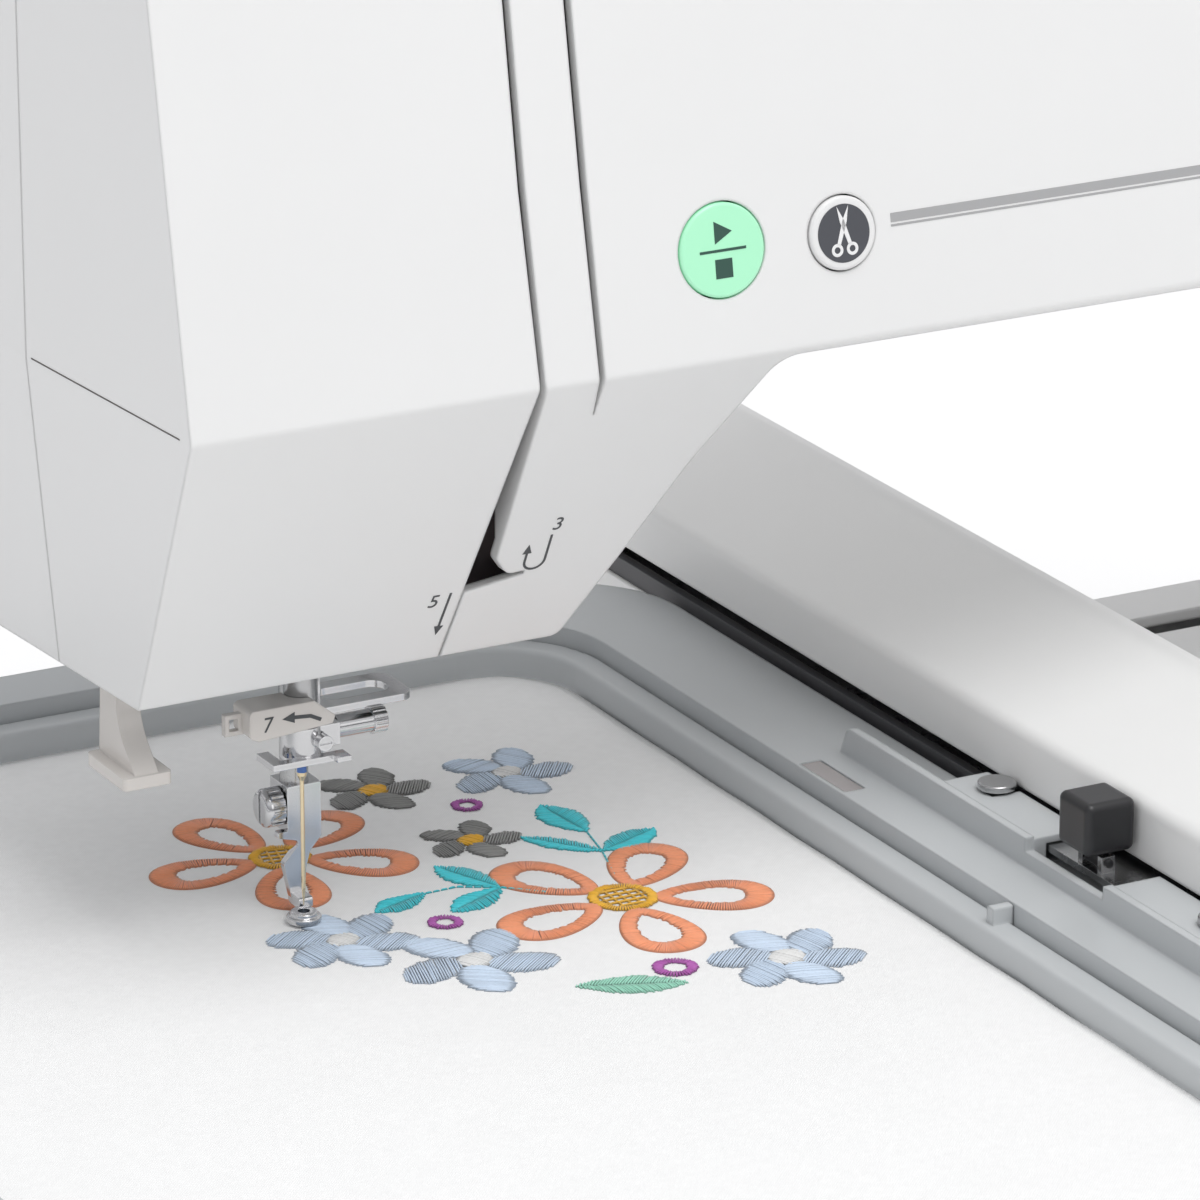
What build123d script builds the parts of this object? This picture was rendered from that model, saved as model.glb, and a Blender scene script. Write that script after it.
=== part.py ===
from build123d import *
import math
import os

# Home embroidery machine with its hoop carriage.
# It is drawn around the needle: X to the right, Y to the back, Z up, and 0, 0, 0 is
# where the needle meets the cloth. At the end everything moves so that the origin is
# under the middle of the object, on the table.

# Levels
table_z = -81.8
bed_z = -1.8
top_z = 229.0
arm_z = 124.5
crease_z = 126.0

# Casing
wall = 2.8
front_y = -50.0
back_y = 95.0
part_y = 18.0
front_lean = 9.1
head_bottom_z = 59.8
head_bottom_y = -15.5
left_x = -46.7
left_flare = 3.9
left_draft = 4.7
pillar_x = 312.0
right_x = 391.0
seam = 0.3

# Base
base_left = -62.0
base_front = -120.0
base_rear = 99.0
table_left = -150.0

# Needle and presser
needle_tip_z = 3.8
needle_bar_r = 3.6
presser_x = 2.5
presser_y = 9.0
presser_r = 3.0
run = 0.05

# Shafts
shaft_z = 175.0
shaft_r = 6.0
lower_z = -45.0
lower_r = 5.0
crank_r = 17.0
hook_x = -3.0
hook_y = -20.5
hook_r = 17.8

# Carriage bar
bar_left = 150.0
bar_right = 206.0
bar_end = 215.0
bar_low = 0.9
slot_low = 7.4
slot_high = 16.3
bar_foot_x = 178.0
bar_feet_y = (-95.0, 75.0)
guide_z = -30.0
guide_r = 4.0
carriage_travel = 100.0
hoop_y = -81.0
block_half = 24.0

# Hoop
window_x = 231.0
window_y = 395.0
window_r = 20.0
ring = 6.8
ring_top = 6.0
flange_top = 10.0
flange_low = 7.2
hoop_low = -1.2
hoop_right = 149.4
hoop_left = -133.0
hoop_end = 221.5
rim_top = 16.4

# Buttons, on the leaning front
start_at = (72.7, 22.3)
start_r = 9.65
cutter_at = (100.4, 22.0)
cutter_r = 7.6

lean = math.radians(front_lean)
front_face = Plane(
    origin=(0, front_y, crease_z), x_dir=(1, 0, 0), z_dir=(0, -math.cos(lean), math.sin(lean))
)


def block(x0, x1, y0, y1, z0, z1):
    return Pos((x0 + x1) / 2, (y0 + y1) / 2, (z0 + z1) / 2) * Box(x1 - x0, y1 - y0, z1 - z0)


def rod_x(x0, x1, y, z, r):
    return Pos((x0 + x1) / 2, y, z) * Rot(0, 90, 0) * Cylinder(r, x1 - x0)


def rod_y(y0, y1, x, z, r):
    return Pos(x, (y0 + y1) / 2, z) * Rot(90, 0, 0) * Cylinder(r, y1 - y0)


def rod_z(z0, z1, x, y, r):
    return Pos(x, y, (z0 + z1) / 2) * Cylinder(r, z1 - z0)


def outline(corners):
    """A closed outline from corners given as (across, up, radius)."""
    path = FilletPolyline(*[(a, b) for a, b, r in corners], radius=[r for a, b, r in corners], close=True)
    return make_face(path)


def prism_x(face, x0, x1):
    return Pos(x0, 0, 0) * extrude(Plane.YZ * face, amount=x1 - x0)


def prism_y(face, y0, y1):
    return Pos(0, y1, 0) * extrude(Plane.XZ * face, amount=y1 - y0)


def prism_z(face, z0, z1):
    return Pos(0, 0, z0) * extrude(face, amount=z1 - z0)


def rounded(x0, x1, y0, y1, z0, z1, r):
    face = Pos((x0 + x1) / 2, (y0 + y1) / 2) * RectangleRounded(x1 - x0, y1 - y0, r)
    return prism_z(face, z0, z1)


def shrunk(face, amount):
    return offset(face, amount=-amount) if amount else face


def softened(shape, edges, radii):
    """The shape with its edges rounded at the first radius that works."""
    for radius in radii:
        try:
            smooth = fillet(edges, radius)
        except (ValueError, RuntimeError):
            continue
        if all(s.is_valid for s in smooth.solids()):
            return smooth
    return shape


def group(shapes):
    return Compound(children=[s for shape in shapes for s in shape.solids()])


# --- casing -------------------------------------------------------------


def front_at(z):
    return front_y + (z - crease_z) * math.tan(lean)


def silhouette(inset):
    """Front view of the head, arm and pillar."""
    corners = [
        (-75, head_bottom_z, 0),
        (51.5, head_bottom_z, 3),
        (61, 79, 60),
        (71, 101, 60),
        (85.3, arm_z, 8),
        (pillar_x, arm_z, 26),
        (pillar_x, bed_z, 0),
        (right_x, bed_z, 0),
        (right_x, top_z, 9),
        (-75, top_z, 0),
    ]
    return shrunk(outline(corners), inset)


def side_profile(head, inset):
    """Side view of the head, or of the pillar and arm."""
    low = head_bottom_z if head else bed_z
    low_y = head_bottom_y if head else front_y
    corners = [
        (low_y, low, 0),
        (front_y, crease_z, 2.5),
        (front_at(top_z), top_z, 15),
        (back_y, top_z, 15),
        (back_y, low, 0),
    ]
    return shrunk(outline(corners), inset)


def left_cut(inset):
    """What lies outside the left face: upright above the crease, drawn in below it."""
    side = Plane(
        origin=(left_x + inset, front_y, crease_z),
        x_dir=(-math.sin(math.radians(left_flare)), math.cos(math.radians(left_flare)), 0),
        z_dir=(-math.cos(math.radians(left_flare)), -math.sin(math.radians(left_flare)), 0),
    )
    upper = side * Pos(0, 0, 40) * Box(500, 500, 80)
    lower = side * Rot(-left_draft, 0, 0) * Pos(0, 0, 40) * Box(500, 500, 80)
    return upper, lower


def upper_body(inset):
    middle = 200.0
    shape = silhouette(inset)
    head = prism_x(side_profile(True, inset), -75, middle) & prism_y(shape, -80, 130)
    pillar = prism_x(side_profile(False, inset), middle, 500) & prism_y(shape, -80, 130)
    body = head + pillar
    upper, lower = left_cut(inset)
    above = block(-100, 500, -200, 200, crease_z, 400)
    below = block(-100, 500, -200, 200, -200, crease_z)
    return body - (upper & above) - (lower & below)


def casing():
    outer = upper_body(0)
    corner = outer.edges().filter_by(
        lambda e: e.center().X < left_x + 4 and e.center().Y < -20 and abs(e.length) > 20
    )
    outer = softened(outer, corner, (3.5, 2.5, 1.5))
    inner = upper_body(wall)
    shell = outer - inner
    shell -= block(-60, 60, -60, back_y - wall, head_bottom_z - 1, head_bottom_z + wall + 1) & (
        inner + Pos(0, 0, -wall - 1.5) * inner
    )
    foot_opening = (pillar_x + wall, right_x - wall, front_y + wall, back_y - wall)
    shell -= block(*foot_opening, bed_z - 1, bed_z + wall + 1)
    return shell


slot_top = 216.0
rib_y = -27.0
cover_edge = [(27.6, 250), (28.2, 166), (29.7, crease_z + 1), (29.5, crease_z - 2), (23.8, 59), (23.6, 50)]
case_edge = [
    (23.7, 50, 0),
    (25.8, 76.2, 0),
    (38.8, 78.4, 0),
    (38.8, 79.2, 0),
    (34.8, 79.0, 2.5),
    (31.2, 83.5, 3),
    (31.4, crease_z - 2, 0),
    (31.0, crease_z + 1, 0),
    (29.8, 166, 0),
    (29.2, 250, 0),
]


def cover_region():
    corners = [(-80, 50, 0)] + [(x, z, 0) for x, z in reversed(cover_edge)] + [(-80, 250, 0)]
    return prism_y(outline(corners), -80, part_y)


def case_region():
    corners = case_edge + [(420, 250, 0), (420, -20, 0), (23.7, -20, 0)]
    return prism_y(outline(corners), -80, part_y)


def lever_slot():
    """The slot that the take-up lever works in, right of the thread cover."""
    corners = [(43.9, 117.5, 0), (43.1, crease_z, 0), (41.9, 165, 0), (41.2, slot_top, 0)]
    corners += [(42.9, slot_top, 0), (43.5, 165, 0), (44.4, crease_z, 0), (44.2, 117.5, 0)]
    return prism_y(outline(corners), -80, -10)


def tongue_rib():
    """The side wall of the thread cover, turned in along the recess."""
    corners = [(31.2, 83.5, 0), (31.4, crease_z, 0), (33.2, crease_z, 0), (33.0, 82, 0)]
    outer = upper_body(0.6)
    return (prism_y(outline(corners), -60, rib_y) & outer) - Pos(0, 9, 0) * outer


def face_cover(shell):
    return (shell & cover_region()).solids().sort_by(SortBy.VOLUME)[-1]


def front_case(shell):
    part = shell & case_region()
    part -= lever_slot()
    part += tongue_rib()
    for (x, v), r in ((start_at, start_r + 0.35), (cutter_at, cutter_r + 0.35)):
        part -= front_face * Pos(x, v, 0) * Cylinder(r, 14)
    w, h = screen_size
    part -= front_face * Pos(*screen_mid, 0) * Box(w - 12, h - 12, 20)
    part -= rod_x(right_x - 8, right_x + 2, 0, shaft_z, shaft_r + 2)
    return part.solids().sort_by(SortBy.VOLUME)[-1]


lid_x = (44.0, 236.0)
lid_y = (24.0, 84.0)
lid_low = top_z - 3.2


def rear_case(shell):
    back = block(-100, 500, part_y + seam, 200, -50, 400)
    part = (shell & back) - rod_z(top_z - 20, top_z + 5, 290, 50, 3.4)
    part -= block(lid_x[0] - 0.6, lid_x[1] + 0.6, lid_y[0] - 0.6, lid_y[1] + 0.6, lid_low - 4, top_z + 5)
    for x in handle_x:
        part -= block(x - 6.5, x + 6.5, 62, 100, top_z - 10.5, top_z + 5)
        part -= rod_x(x - 8, x + 8, handle_pivot[0], handle_pivot[1], 2)
    part -= block(right_x - 6, right_x + 2, 46.6, 65.4, 8.6, 33.4)
    part -= block(right_x - 6, right_x + 2, 48.6, 63.4, 44.6, 57.4)
    part -= block(right_x - 6, right_x + 2, 49, 62, 67, 75)
    return part.solids().sort_by(SortBy.VOLUME)[-1]


def head_base_plate():
    inside = Pos(0, 0, -wall - 0.2) * upper_body(wall + 0.3)
    plate = inside & block(-60, 56, -60, 200, head_bottom_z + 1.4, head_bottom_z + 3.6)
    plate -= rod_z(50, 70, 0, 0, 8)
    plate -= block(-3, 8, 4, 15, 50, 70)
    plate -= block(-41.2, -34.8, 1.4, 10.2, 50, 70)
    plate -= block(4, 16, 14, 28, 50, 70)
    plate -= block(20, 36, -40, 4, 50, 70)
    for y0, y1 in ((11.5, 15.8), (24.8, 29)):
        plate += block(6, 14.4, y0, y1, 54, head_bottom_z + 3)
    plate += rod_y(12, 28, 10.2, 56.5, 1.2)
    return plate.solids().sort_by(SortBy.VOLUME)[-1]


def thread_channel():
    """The dark wall behind the thread slots."""
    strip = block(20, 47, -60, 0, 70, 205)
    near = Pos(0, 11, 0) * upper_body(0)
    far = Pos(0, 12.6, 0) * upper_body(0)
    channel = (near - far) & strip & upper_body(wall + 1)
    channel -= block(34.8, 38.4, -50, 0, 118, 184)
    return channel.solids().sort_by(SortBy.VOLUME)[-1]


screen_mid = (314.0, 53.0)
screen_size = (142.0, 86.0)


def screen_bezel():
    w, h = screen_size
    frame = front_face * extrude(RectangleRounded(w, h, 5), amount=1.6)
    lip = front_face * Pos(0, 0, -3.4) * extrude(RectangleRounded(w - 12.6, h - 12.6, 3), amount=3.4)
    window = front_face * Pos(0, 0, -5) * extrude(RectangleRounded(w - 22, h - 22, 2), amount=10)
    rebate = front_face * Pos(0, 0, -0.2) * extrude(RectangleRounded(w - 17, h - 17, 2), amount=3)
    part = frame + lip - window - rebate
    return Pos(*to_front(screen_mid)) * part


def to_front(at):
    """Move along the leaning front from its lower left to (x, v)."""
    return (at[0], at[1] * math.sin(lean), at[1] * math.cos(lean))


def touch_screen():
    w, h = screen_size
    glass = front_face * Pos(0, 0, -0.1) * extrude(RectangleRounded(w - 17.4, h - 17.4, 2), amount=1.2)
    return Pos(*to_front(screen_mid)) * glass


# --- base ---------------------------------------------------------------


def base_shell():
    low = table_z + 4.0
    outer = rounded(base_left, right_x, base_front, base_rear, low, bed_z, 14)
    edges = outer.edges().filter_by(lambda e: e.center().Z > bed_z - 0.1)
    outer = softened(outer, edges, (3.0, 2.0))
    left, right, front, rear = base_left + wall, right_x - wall, base_front + wall, base_rear - wall
    part = outer - rounded(left, right, front, rear, low - 1, bed_z - wall, 12)
    plate_hole = (plate_x[0] - seam, plate_x[1] + seam, plate_y[0] - seam, plate_y[1] + seam)
    part -= block(*plate_hole, bed_z - 6, bed_z + 1)
    reach = carriage_travel + 10
    for y in bar_feet_y:
        x0, x1 = bar_foot_x - reach - 2, bar_foot_x + reach + 2
        part -= rounded(x0, x1, y - 5.5, y + 5.5, bed_z - 6, bed_z + 1, 5)
    part -= block(pillar_x + 6, right_x - 6, front_y + 6, back_y - 6, bed_z - 6, bed_z + 1)
    for y in bar_feet_y:
        for x in (bar_foot_x - reach - 14, bar_foot_x + reach + 6):
            lug = block(x, x + 8, y - 8, y + 8, guide_z - 8, bed_z - wall)
            part += lug
        part -= rod_x(bar_foot_x - reach - 30, bar_foot_x + reach + 30, y, guide_z, guide_r + 0.02)
    return part.solids().sort_by(SortBy.VOLUME)[-1]


def bottom_plate():
    low = table_z + 4.0
    gap = wall + 0.4
    plate = rounded(base_left + gap, right_x - gap, base_front + gap, base_rear - gap, low, low + 2.4, 11)
    for x, y in screw_places():
        plate -= rod_z(low - 1, low + 4, x, y, 2.1)
    return plate


def screw_places():
    rows = (base_front + 16, base_rear - 16)
    return [(x, y) for x in (base_left + 16, 110, 230, right_x - 16) for y in rows]


def rubber_feet():
    feet = []
    for x in (base_left + 40, 170, right_x - 40):
        for y in (base_front + 24, base_rear - 24):
            foot = rod_z(table_z, table_z + 4.0, x, y, 9)
            rim = foot.edges().filter_by(lambda e: e.center().Z < table_z + 0.1)
            feet.append(softened(foot, rim, (1.2,)))
    return group(feet)


def case_screws():
    screws = []
    low = table_z + 4.0
    for x, y in screw_places():
        head = rod_z(low - 2.0, low, x, y, 3.8)
        shank = rod_z(low, low + 9, x, y, 1.9)
        slot = block(x - 2.2, x + 2.2, y - 0.4, y + 0.4, low - 2.1, low - 1)
        screws.append(head + shank - slot)
    return group(screws)


def extension_table():
    low = table_z + 4.0
    right = base_left - 0.6
    outer = rounded(table_left, right, base_front, base_rear, low, bed_z, 12)
    outer += block(right - 20, right, base_front, base_rear, low, bed_z)
    inside = (table_left + wall, right - wall, base_front + wall, base_rear - wall)
    part = outer - rounded(*inside, low - 1, bed_z - wall, 9)
    for y in (base_front + 24, base_rear - 24):
        part += rod_z(table_z, bed_z - wall, table_left + 24, y, 7)
        part += rod_z(table_z, bed_z - wall, right - 24, y, 7)
    return part


plate_x = (-40.0, 36.0)
plate_y = (-46.0, 24.0)


def needle_plate():
    plate = rounded(plate_x[0], plate_x[1], plate_y[0], plate_y[1], bed_z - 2.2, bed_z, 3)
    plate -= rounded(hook_x - 19, hook_x + 19, -43, -4.5, bed_z - 5, bed_z + 1, 4)
    plate -= rod_z(bed_z - 5, bed_z + 1, 0, 0, 1.6)
    for x in (-32, 28):
        plate -= rod_z(bed_z - 5, bed_z + 1, x, 14, 1.7)
    return plate


def bobbin_cover():
    cover = rounded(hook_x - 18.7, hook_x + 18.7, -42.7, -4.8, bed_z - 1.9, bed_z, 4)
    grip = rounded(hook_x - 6, hook_x + 6, -41.5, -38.5, bed_z - 0.7, bed_z + 1, 1.4)
    return cover - grip


def rotary_hook():
    cup = rod_z(-23, -7.5, hook_x, hook_y, hook_r) - rod_z(-20, -7, hook_x, hook_y, hook_r - 1.6)
    notch = block(hook_x - 1, hook_x + 13, hook_y + 10, hook_y + 22, -12, -7)
    shaft = rod_z(-60, -23, hook_x, hook_y, 3.95)
    gear = rod_z(lower_z - 4, lower_z + 4, hook_x, hook_y, 11.8)
    return cup - notch + shaft + gear


def bobbin_case():
    cup = rod_z(-19.6, -5.4, hook_x, hook_y, 15.7) - rod_z(-18.2, -5, hook_x, hook_y, 11.6)
    spring = block(hook_x - 15.2, hook_x - 12, hook_y - 6, hook_y + 6, -6.4, -4.8)
    return cup + spring - rod_z(-20, -17, hook_x, hook_y, 2.2)


def bobbin():
    spool = rod_z(-17.9, -16.9, hook_x, hook_y, 10.4) + rod_z(-7.4, -6.4, hook_x, hook_y, 10.4)
    spool += rod_z(-17.9, -6.4, hook_x, hook_y, 4.2)
    return spool - rod_z(-18, -6, hook_x, hook_y, 3.1)


def hook_frame():
    foot = block(hook_x - 14, hook_x + 14, hook_y - 12, hook_y + 12, table_z + 6.8, -52)
    foot -= rod_z(-80, -50, hook_x, hook_y, 3.95 + run)
    front = block(-34, -26, -8, 8, table_z + 6.8, lower_z + 9) - rod_x(-40, -20, 0, lower_z, lower_r + run)
    rear = block(326, 336, -8, 8, table_z + 6.8, lower_z + 9) - rod_x(320, 340, 0, lower_z, lower_r + run)
    return [foot, front, rear]


# --- drive --------------------------------------------------------------

bearings_x = (50.0, 180.0, 296.0)
belt_x = (317.0, 327.0)
timing_x = (352.0, 362.0)
big_r = 30.0
small_r = 8.0
timing_r = 14.0
motor_at = (46.0, 40.0)
motor_x = (331.0, 371.0)
lever_at = (8.0, 150.0)
rod_length = 72.6
rod_tilt = 11.93
pin_turn = 1.08


def main_frame():
    """The casting behind the shaft, with its bearing blocks and needle bar guides."""
    plate = [(-32, 67, 0), (40, 67, 4), (64, 132, 6), (302, 132, 0), (302, 196, 3), (-32, 196, 3)]
    plate = prism_y(outline(plate), 26, 31)
    for x in bearings_x:
        pedestal = block(x - 6, x + 6, -14, 26.5, shaft_z - 15, shaft_z + 15)
        plate += pedestal - rod_x(x - 9, x + 9, 0, shaft_z, 10.05)
    for z0, z1 in ((67, 77), (140, 150)):
        guide = block(-8, 8.2, -8, 26.5, z0, z1)
        guide -= rod_z(z0 - 1, z1 + 1, 0, 0, needle_bar_r + run)
        guide -= rod_z(z0 - 1, z1 + 1, presser_x, presser_y, presser_r + run)
        plate += guide
    plate += block(42, 50, 2, 27, 144, 156) + rod_x(33.5, 43, lever_at[0], lever_at[1], 2.0)
    plate += block(290, 302, 30, 81, 184, 196) + block(290, 330, 76, 81, 184, 196)
    upright = block(320, 384, 76, 81, table_z + 6.8, 200)
    for z in (10, 100, 160):
        upright -= rod_y(70, 90, 350, z, 12)
    return group([plate + upright] + hook_frame())


def shaft_bushes():
    rings = []
    for x in bearings_x:
        bore = rod_x(x - 9, x + 9, 0, shaft_z, shaft_r + run)
        rings.append(rod_x(x - 6.5, x + 6.5, 0, shaft_z, 10) - bore)
    return group(rings)


def main_shaft():
    """The upper shaft with its crank, belt pulley and timing pulley."""
    part = rod_x(20, right_x + 9, 0, shaft_z, shaft_r)
    part += rod_x(14.5, 20.5, 0, shaft_z, crank_r + 5)
    rim = rod_x(13, 22, 0, shaft_z, 40) - rod_x(13, 22, 0, shaft_z, 12)
    part -= rim & block(13, 22, -30, 30, shaft_z + 6, shaft_z + 25) & block(13, 22, -30, 0, 0, 300)
    part += rod_x(belt_x[0], belt_x[1], 0, shaft_z, big_r)
    part += rod_x(timing_x[0], timing_x[1], 0, shaft_z, timing_r)
    pin = rod_x(13.4, 16, crank_r * math.sin(pin_turn), shaft_z + crank_r * math.cos(pin_turn), 3)
    return part + pin


def lower_shaft():
    part = rod_x(-36, 372, 0, lower_z, lower_r)
    part += rod_x(hook_x - 6, hook_x + 6, 0, lower_z, 8.2)
    return part + rod_x(timing_x[0], timing_x[1], 0, lower_z, timing_r)


def hand_wheel():
    wheel = rod_x(right_x + 1, right_x + 14, 0, shaft_z, 36)
    wheel = softened(wheel, wheel.edges().filter_by(lambda e: e.center().X > right_x + 13), (3.0,))
    wheel -= rod_x(right_x + 10, right_x + 15, 0, shaft_z, 22)
    for i in range(24):
        a = math.radians(15 * i)
        wheel -= rod_x(right_x, right_x + 15, 37.4 * math.cos(a), shaft_z + 37.4 * math.sin(a), 2.4)
    return wheel - rod_x(right_x, right_x + 9.2, 0, shaft_z, shaft_r + 0.02)


def belt(x0, x1, ends, grow):
    def loop(extra):
        circles = [(Pos(y, z) * Circle(r + extra)).edges()[0] for y, z, r in ends]
        return make_hull(circles)

    return prism_x(loop(grow + 1.4), x0, x1) - prism_x(loop(grow), x0, x1)


def timing_belts():
    gap = 0.35
    drive_ends = [(0, shaft_z, big_r), (*motor_at, small_r)]
    timing_ends = [(0, shaft_z, timing_r), (0, lower_z, timing_r)]
    drive = belt(belt_x[0] + 1, belt_x[1] - 1, drive_ends, gap)
    timing = belt(timing_x[0] + 1, timing_x[1] - 1, timing_ends, gap)
    return group([drive, timing])


def main_motor():
    y, z = motor_at
    x0, x1 = motor_x
    can = rod_x(x0, x1, y, z, 26)
    can = softened(can, can.edges().filter_by(GeomType.CIRCLE), (3.0,))
    foot = block(x0 + 6, x1 - 6, y + 18, 75.8, z - 14, z + 14)
    return can + foot - rod_x(x0 - 2, x1 + 2, y, z, 4)


def motor_shaft():
    y, z = motor_at
    return rod_x(belt_x[0] - 2, motor_x[1] + 1, y, z, 3.9) + rod_x(belt_x[0], belt_x[1], y, z, small_r)


def circuit_boards():
    main = block(120, 250, 14, 92, table_z + 16, table_z + 17.6)
    chips = [block(x, x + 14, 40, 54, table_z + 17.6, table_z + 20) for x in (140, 176, 212)]
    main += group([rod_z(table_z + 6.6, table_z + 16, x, y, 3) for x in (126, 244) for y in (20, 70)])
    buttons = front_face * Pos(86, 22, -9) * Box(58, 26, 1.6)
    for chip in chips:
        main += chip
    return group([main, buttons])


def power_inlet():
    x = right_x
    body = block(x - 16, x - 0.4, 47, 65, 9, 33)
    body -= block(x - 13, x + 1, 50, 62, 12, 30)
    for y in (53, 59):
        body += rod_x(x - 14, x - 4, y, 21, 1.2)
    usb = block(x - 16, x - 0.4, 49.4, 61.6, 67.4, 74.6) - block(x - 14, x + 1, 50.2, 60.8, 68.2, 73.8)
    return group([body, usb])


def power_switch():
    face = [(-5.5, -3, 0), (1.4, -5.6, 1), (0.4, 0, 3), (1.4, 5.6, 1), (-5.5, 3, 0)]
    rocker = prism_y(outline(face), 49.6, 62.4)
    return Pos(right_x + 0.2, 0, 51) * rocker


# --- top ----------------------------------------------------------------

handle_x = (30.0, 250.0)
handle_pivot = (70.0, top_z - 3.0)


def top_lid():
    lid = rounded(lid_x[0], lid_x[1], lid_y[0], lid_y[1], lid_low, top_z, 5)
    edge = lid.edges().filter_by(lambda e: e.center().Z > top_z - 0.1)
    lid = softened(lid, edge, (1.2,))
    lid -= rounded(lid_x[0] + 3, lid_x[1] - 3, lid_y[0] + 3, lid_y[1] - 3, lid_low - 1, lid_low + 1.2, 3)
    return lid


def carry_handle():
    y, z = handle_pivot
    part = None
    for x in handle_x:
        arm = block(x - 5, x + 5, y, 101, z - 4.5, z + 4.5) + rod_x(x - 5, x + 5, y, z, 4.5)
        arm -= rod_x(x - 6, x + 6, y, z, 2.05)
        part = arm if part is None else part + arm
    grip = block(handle_x[0] - 5, handle_x[1] + 5, 98, 112, z - 4.5, z + 4.5)
    grip = softened(grip, grip.edges().filter_by(Axis.X), (3.5, 2.5))
    return part + grip


def handle_pins():
    y, z = handle_pivot
    return group([rod_x(x - 8, x + 8, y, z, 2) for x in handle_x])


def spool_tray():
    x0, x1, y0, y1 = lid_x[0] + 6, lid_x[1] - 6, 34.0, 78.0
    tray = rounded(x0, x1, y0, y1, 176, lid_low - 0.6, 6)
    tray -= rounded(x0 + 2, x1 - 2, y0 + 2, y1 - 2, 178, 240, 4)
    pin = rod_x(x0 + 1, x1 - 50, 56, 202, 2.6)
    return tray + pin


def spool_cap():
    cap = rod_x(lid_x[0] + 90, lid_x[0] + 93, 56, 202, 16) + rod_x(lid_x[0] + 93, lid_x[0] + 106, 56, 202, 5)
    return cap - rod_x(lid_x[0] + 80, lid_x[0] + 120, 56, 202, 2.6 + run)


def winder_spindle():
    return rod_z(top_z - 14, top_z + 9, 290, 50, 2.9) + rod_z(top_z + 0.4, top_z + 1.6, 290, 50, 9)


# --- needle and presser ---------------------------------------------------


def needle_bar():
    bar = rod_z(44.4, 160, 0, 0, needle_bar_r)
    lug = block(-5, 9.6, -6, 3.4, 106, 118)
    rod = block(-1.8, 1.8, -4, 4, 0, rod_length)
    for z in (0, rod_length):
        rod += rod_x(-1.8, 1.8, 0, z, 6)
    return bar + lug + Pos(11, 0, 112) * Rot(-rod_tilt, 0, 0) * rod


def needle_clamp():
    body = rod_z(37.2, 44.4, 0, 0, 4.5) - rod_z(36, 43, 0, 0, 1.05)
    body += block(1, 7.2, -3.6, 3.6, 39.6, 44.4) - rod_z(36, 43, 0, 0, 1.05)
    guide = block(-9, 7.8, -5.6, -3.4, 36.9, 38.3) + block(-9, -6.4, -5.6, 2.6, 36.9, 38.3)
    hook = block(4.6, 7.8, -7.6, -5.4, 37.2, 38.3)
    body = body + guide + hook
    screw = rod_y(-6.4, -4.4, 2.6, 41.4, 1.7) - block(1.2, 4, -6.5, -6.1, 41.2, 41.6)
    return body + screw - rod_x(5, 8, 0, 42.2, 2.0)


def needle_cover():
    face = [(-14.6, 45.4, 1.2), (-12.6, 44.4, 1), (4.3, 45.6, 0.6), (4.9, 47.3, 0.6), (0.2, 51.2, 0.8)]
    face += [(-14.6, 51.2, 1.2)]
    shape = prism_y(outline(face), -6.2, 1.6)
    shape -= block(-12.4, 10, -5.0, 7, 40, 49.6)
    shape -= rod_z(40, 60, 0, 0, needle_bar_r + 0.1) + block(-3.7, 3.7, 0, 8, 40, 60)
    frame = block(-18.4, -14, -2.4, -0.8, 45.2, 49.8) - block(-17.4, -15.4, -3, 0, 46.2, 48.8)
    return shape + frame


def needle():
    shank = rod_z(32.8, 42.6, 0, 0, 1.0)
    blade = rod_z(needle_tip_z + 4, 33, 0, 0, 0.45)
    point = Pos(0, 0, needle_tip_z + 2) * Cone(0.08, 0.45, 4)
    neck = Pos(0, 0, 32.3) * Cone(0.45, 1.0, 1.2)
    part = shank + blade + point + neck
    return part - block(-1, 1, -0.18, 0.18, needle_tip_z + 5.2, needle_tip_z + 6.6)


def needle_clamp_screw():
    part = rod_x(5.6, 7.6, 0, 42.2, 1.95) + rod_x(7.6, 15.8, 0, 42.2, 2.45)
    head = rod_x(15.8, 18.8, 0, 42.2, 2.95)
    for i in range(14):
        a = math.tau * i / 14
        head -= rod_x(15, 20, 3.05 * math.cos(a), 42.2 + 3.05 * math.sin(a), 0.32)
    return part + head


def presser_bar():
    bar = rod_z(21, 168, presser_x, presser_y, presser_r)
    collar = rod_z(96, 102, presser_x, presser_y, 6) & block(-20, 20, 4.4, 20, 90, 110)
    return bar + collar


def presser_spring():
    coil = Pos(presser_x, presser_y, 104) * Helix(pitch=5.5, height=33, radius=4.6)
    wire = sweep(Plane(origin=coil @ 0, z_dir=coil % 0) * Circle(0.6), path=coil)
    return wire


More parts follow.
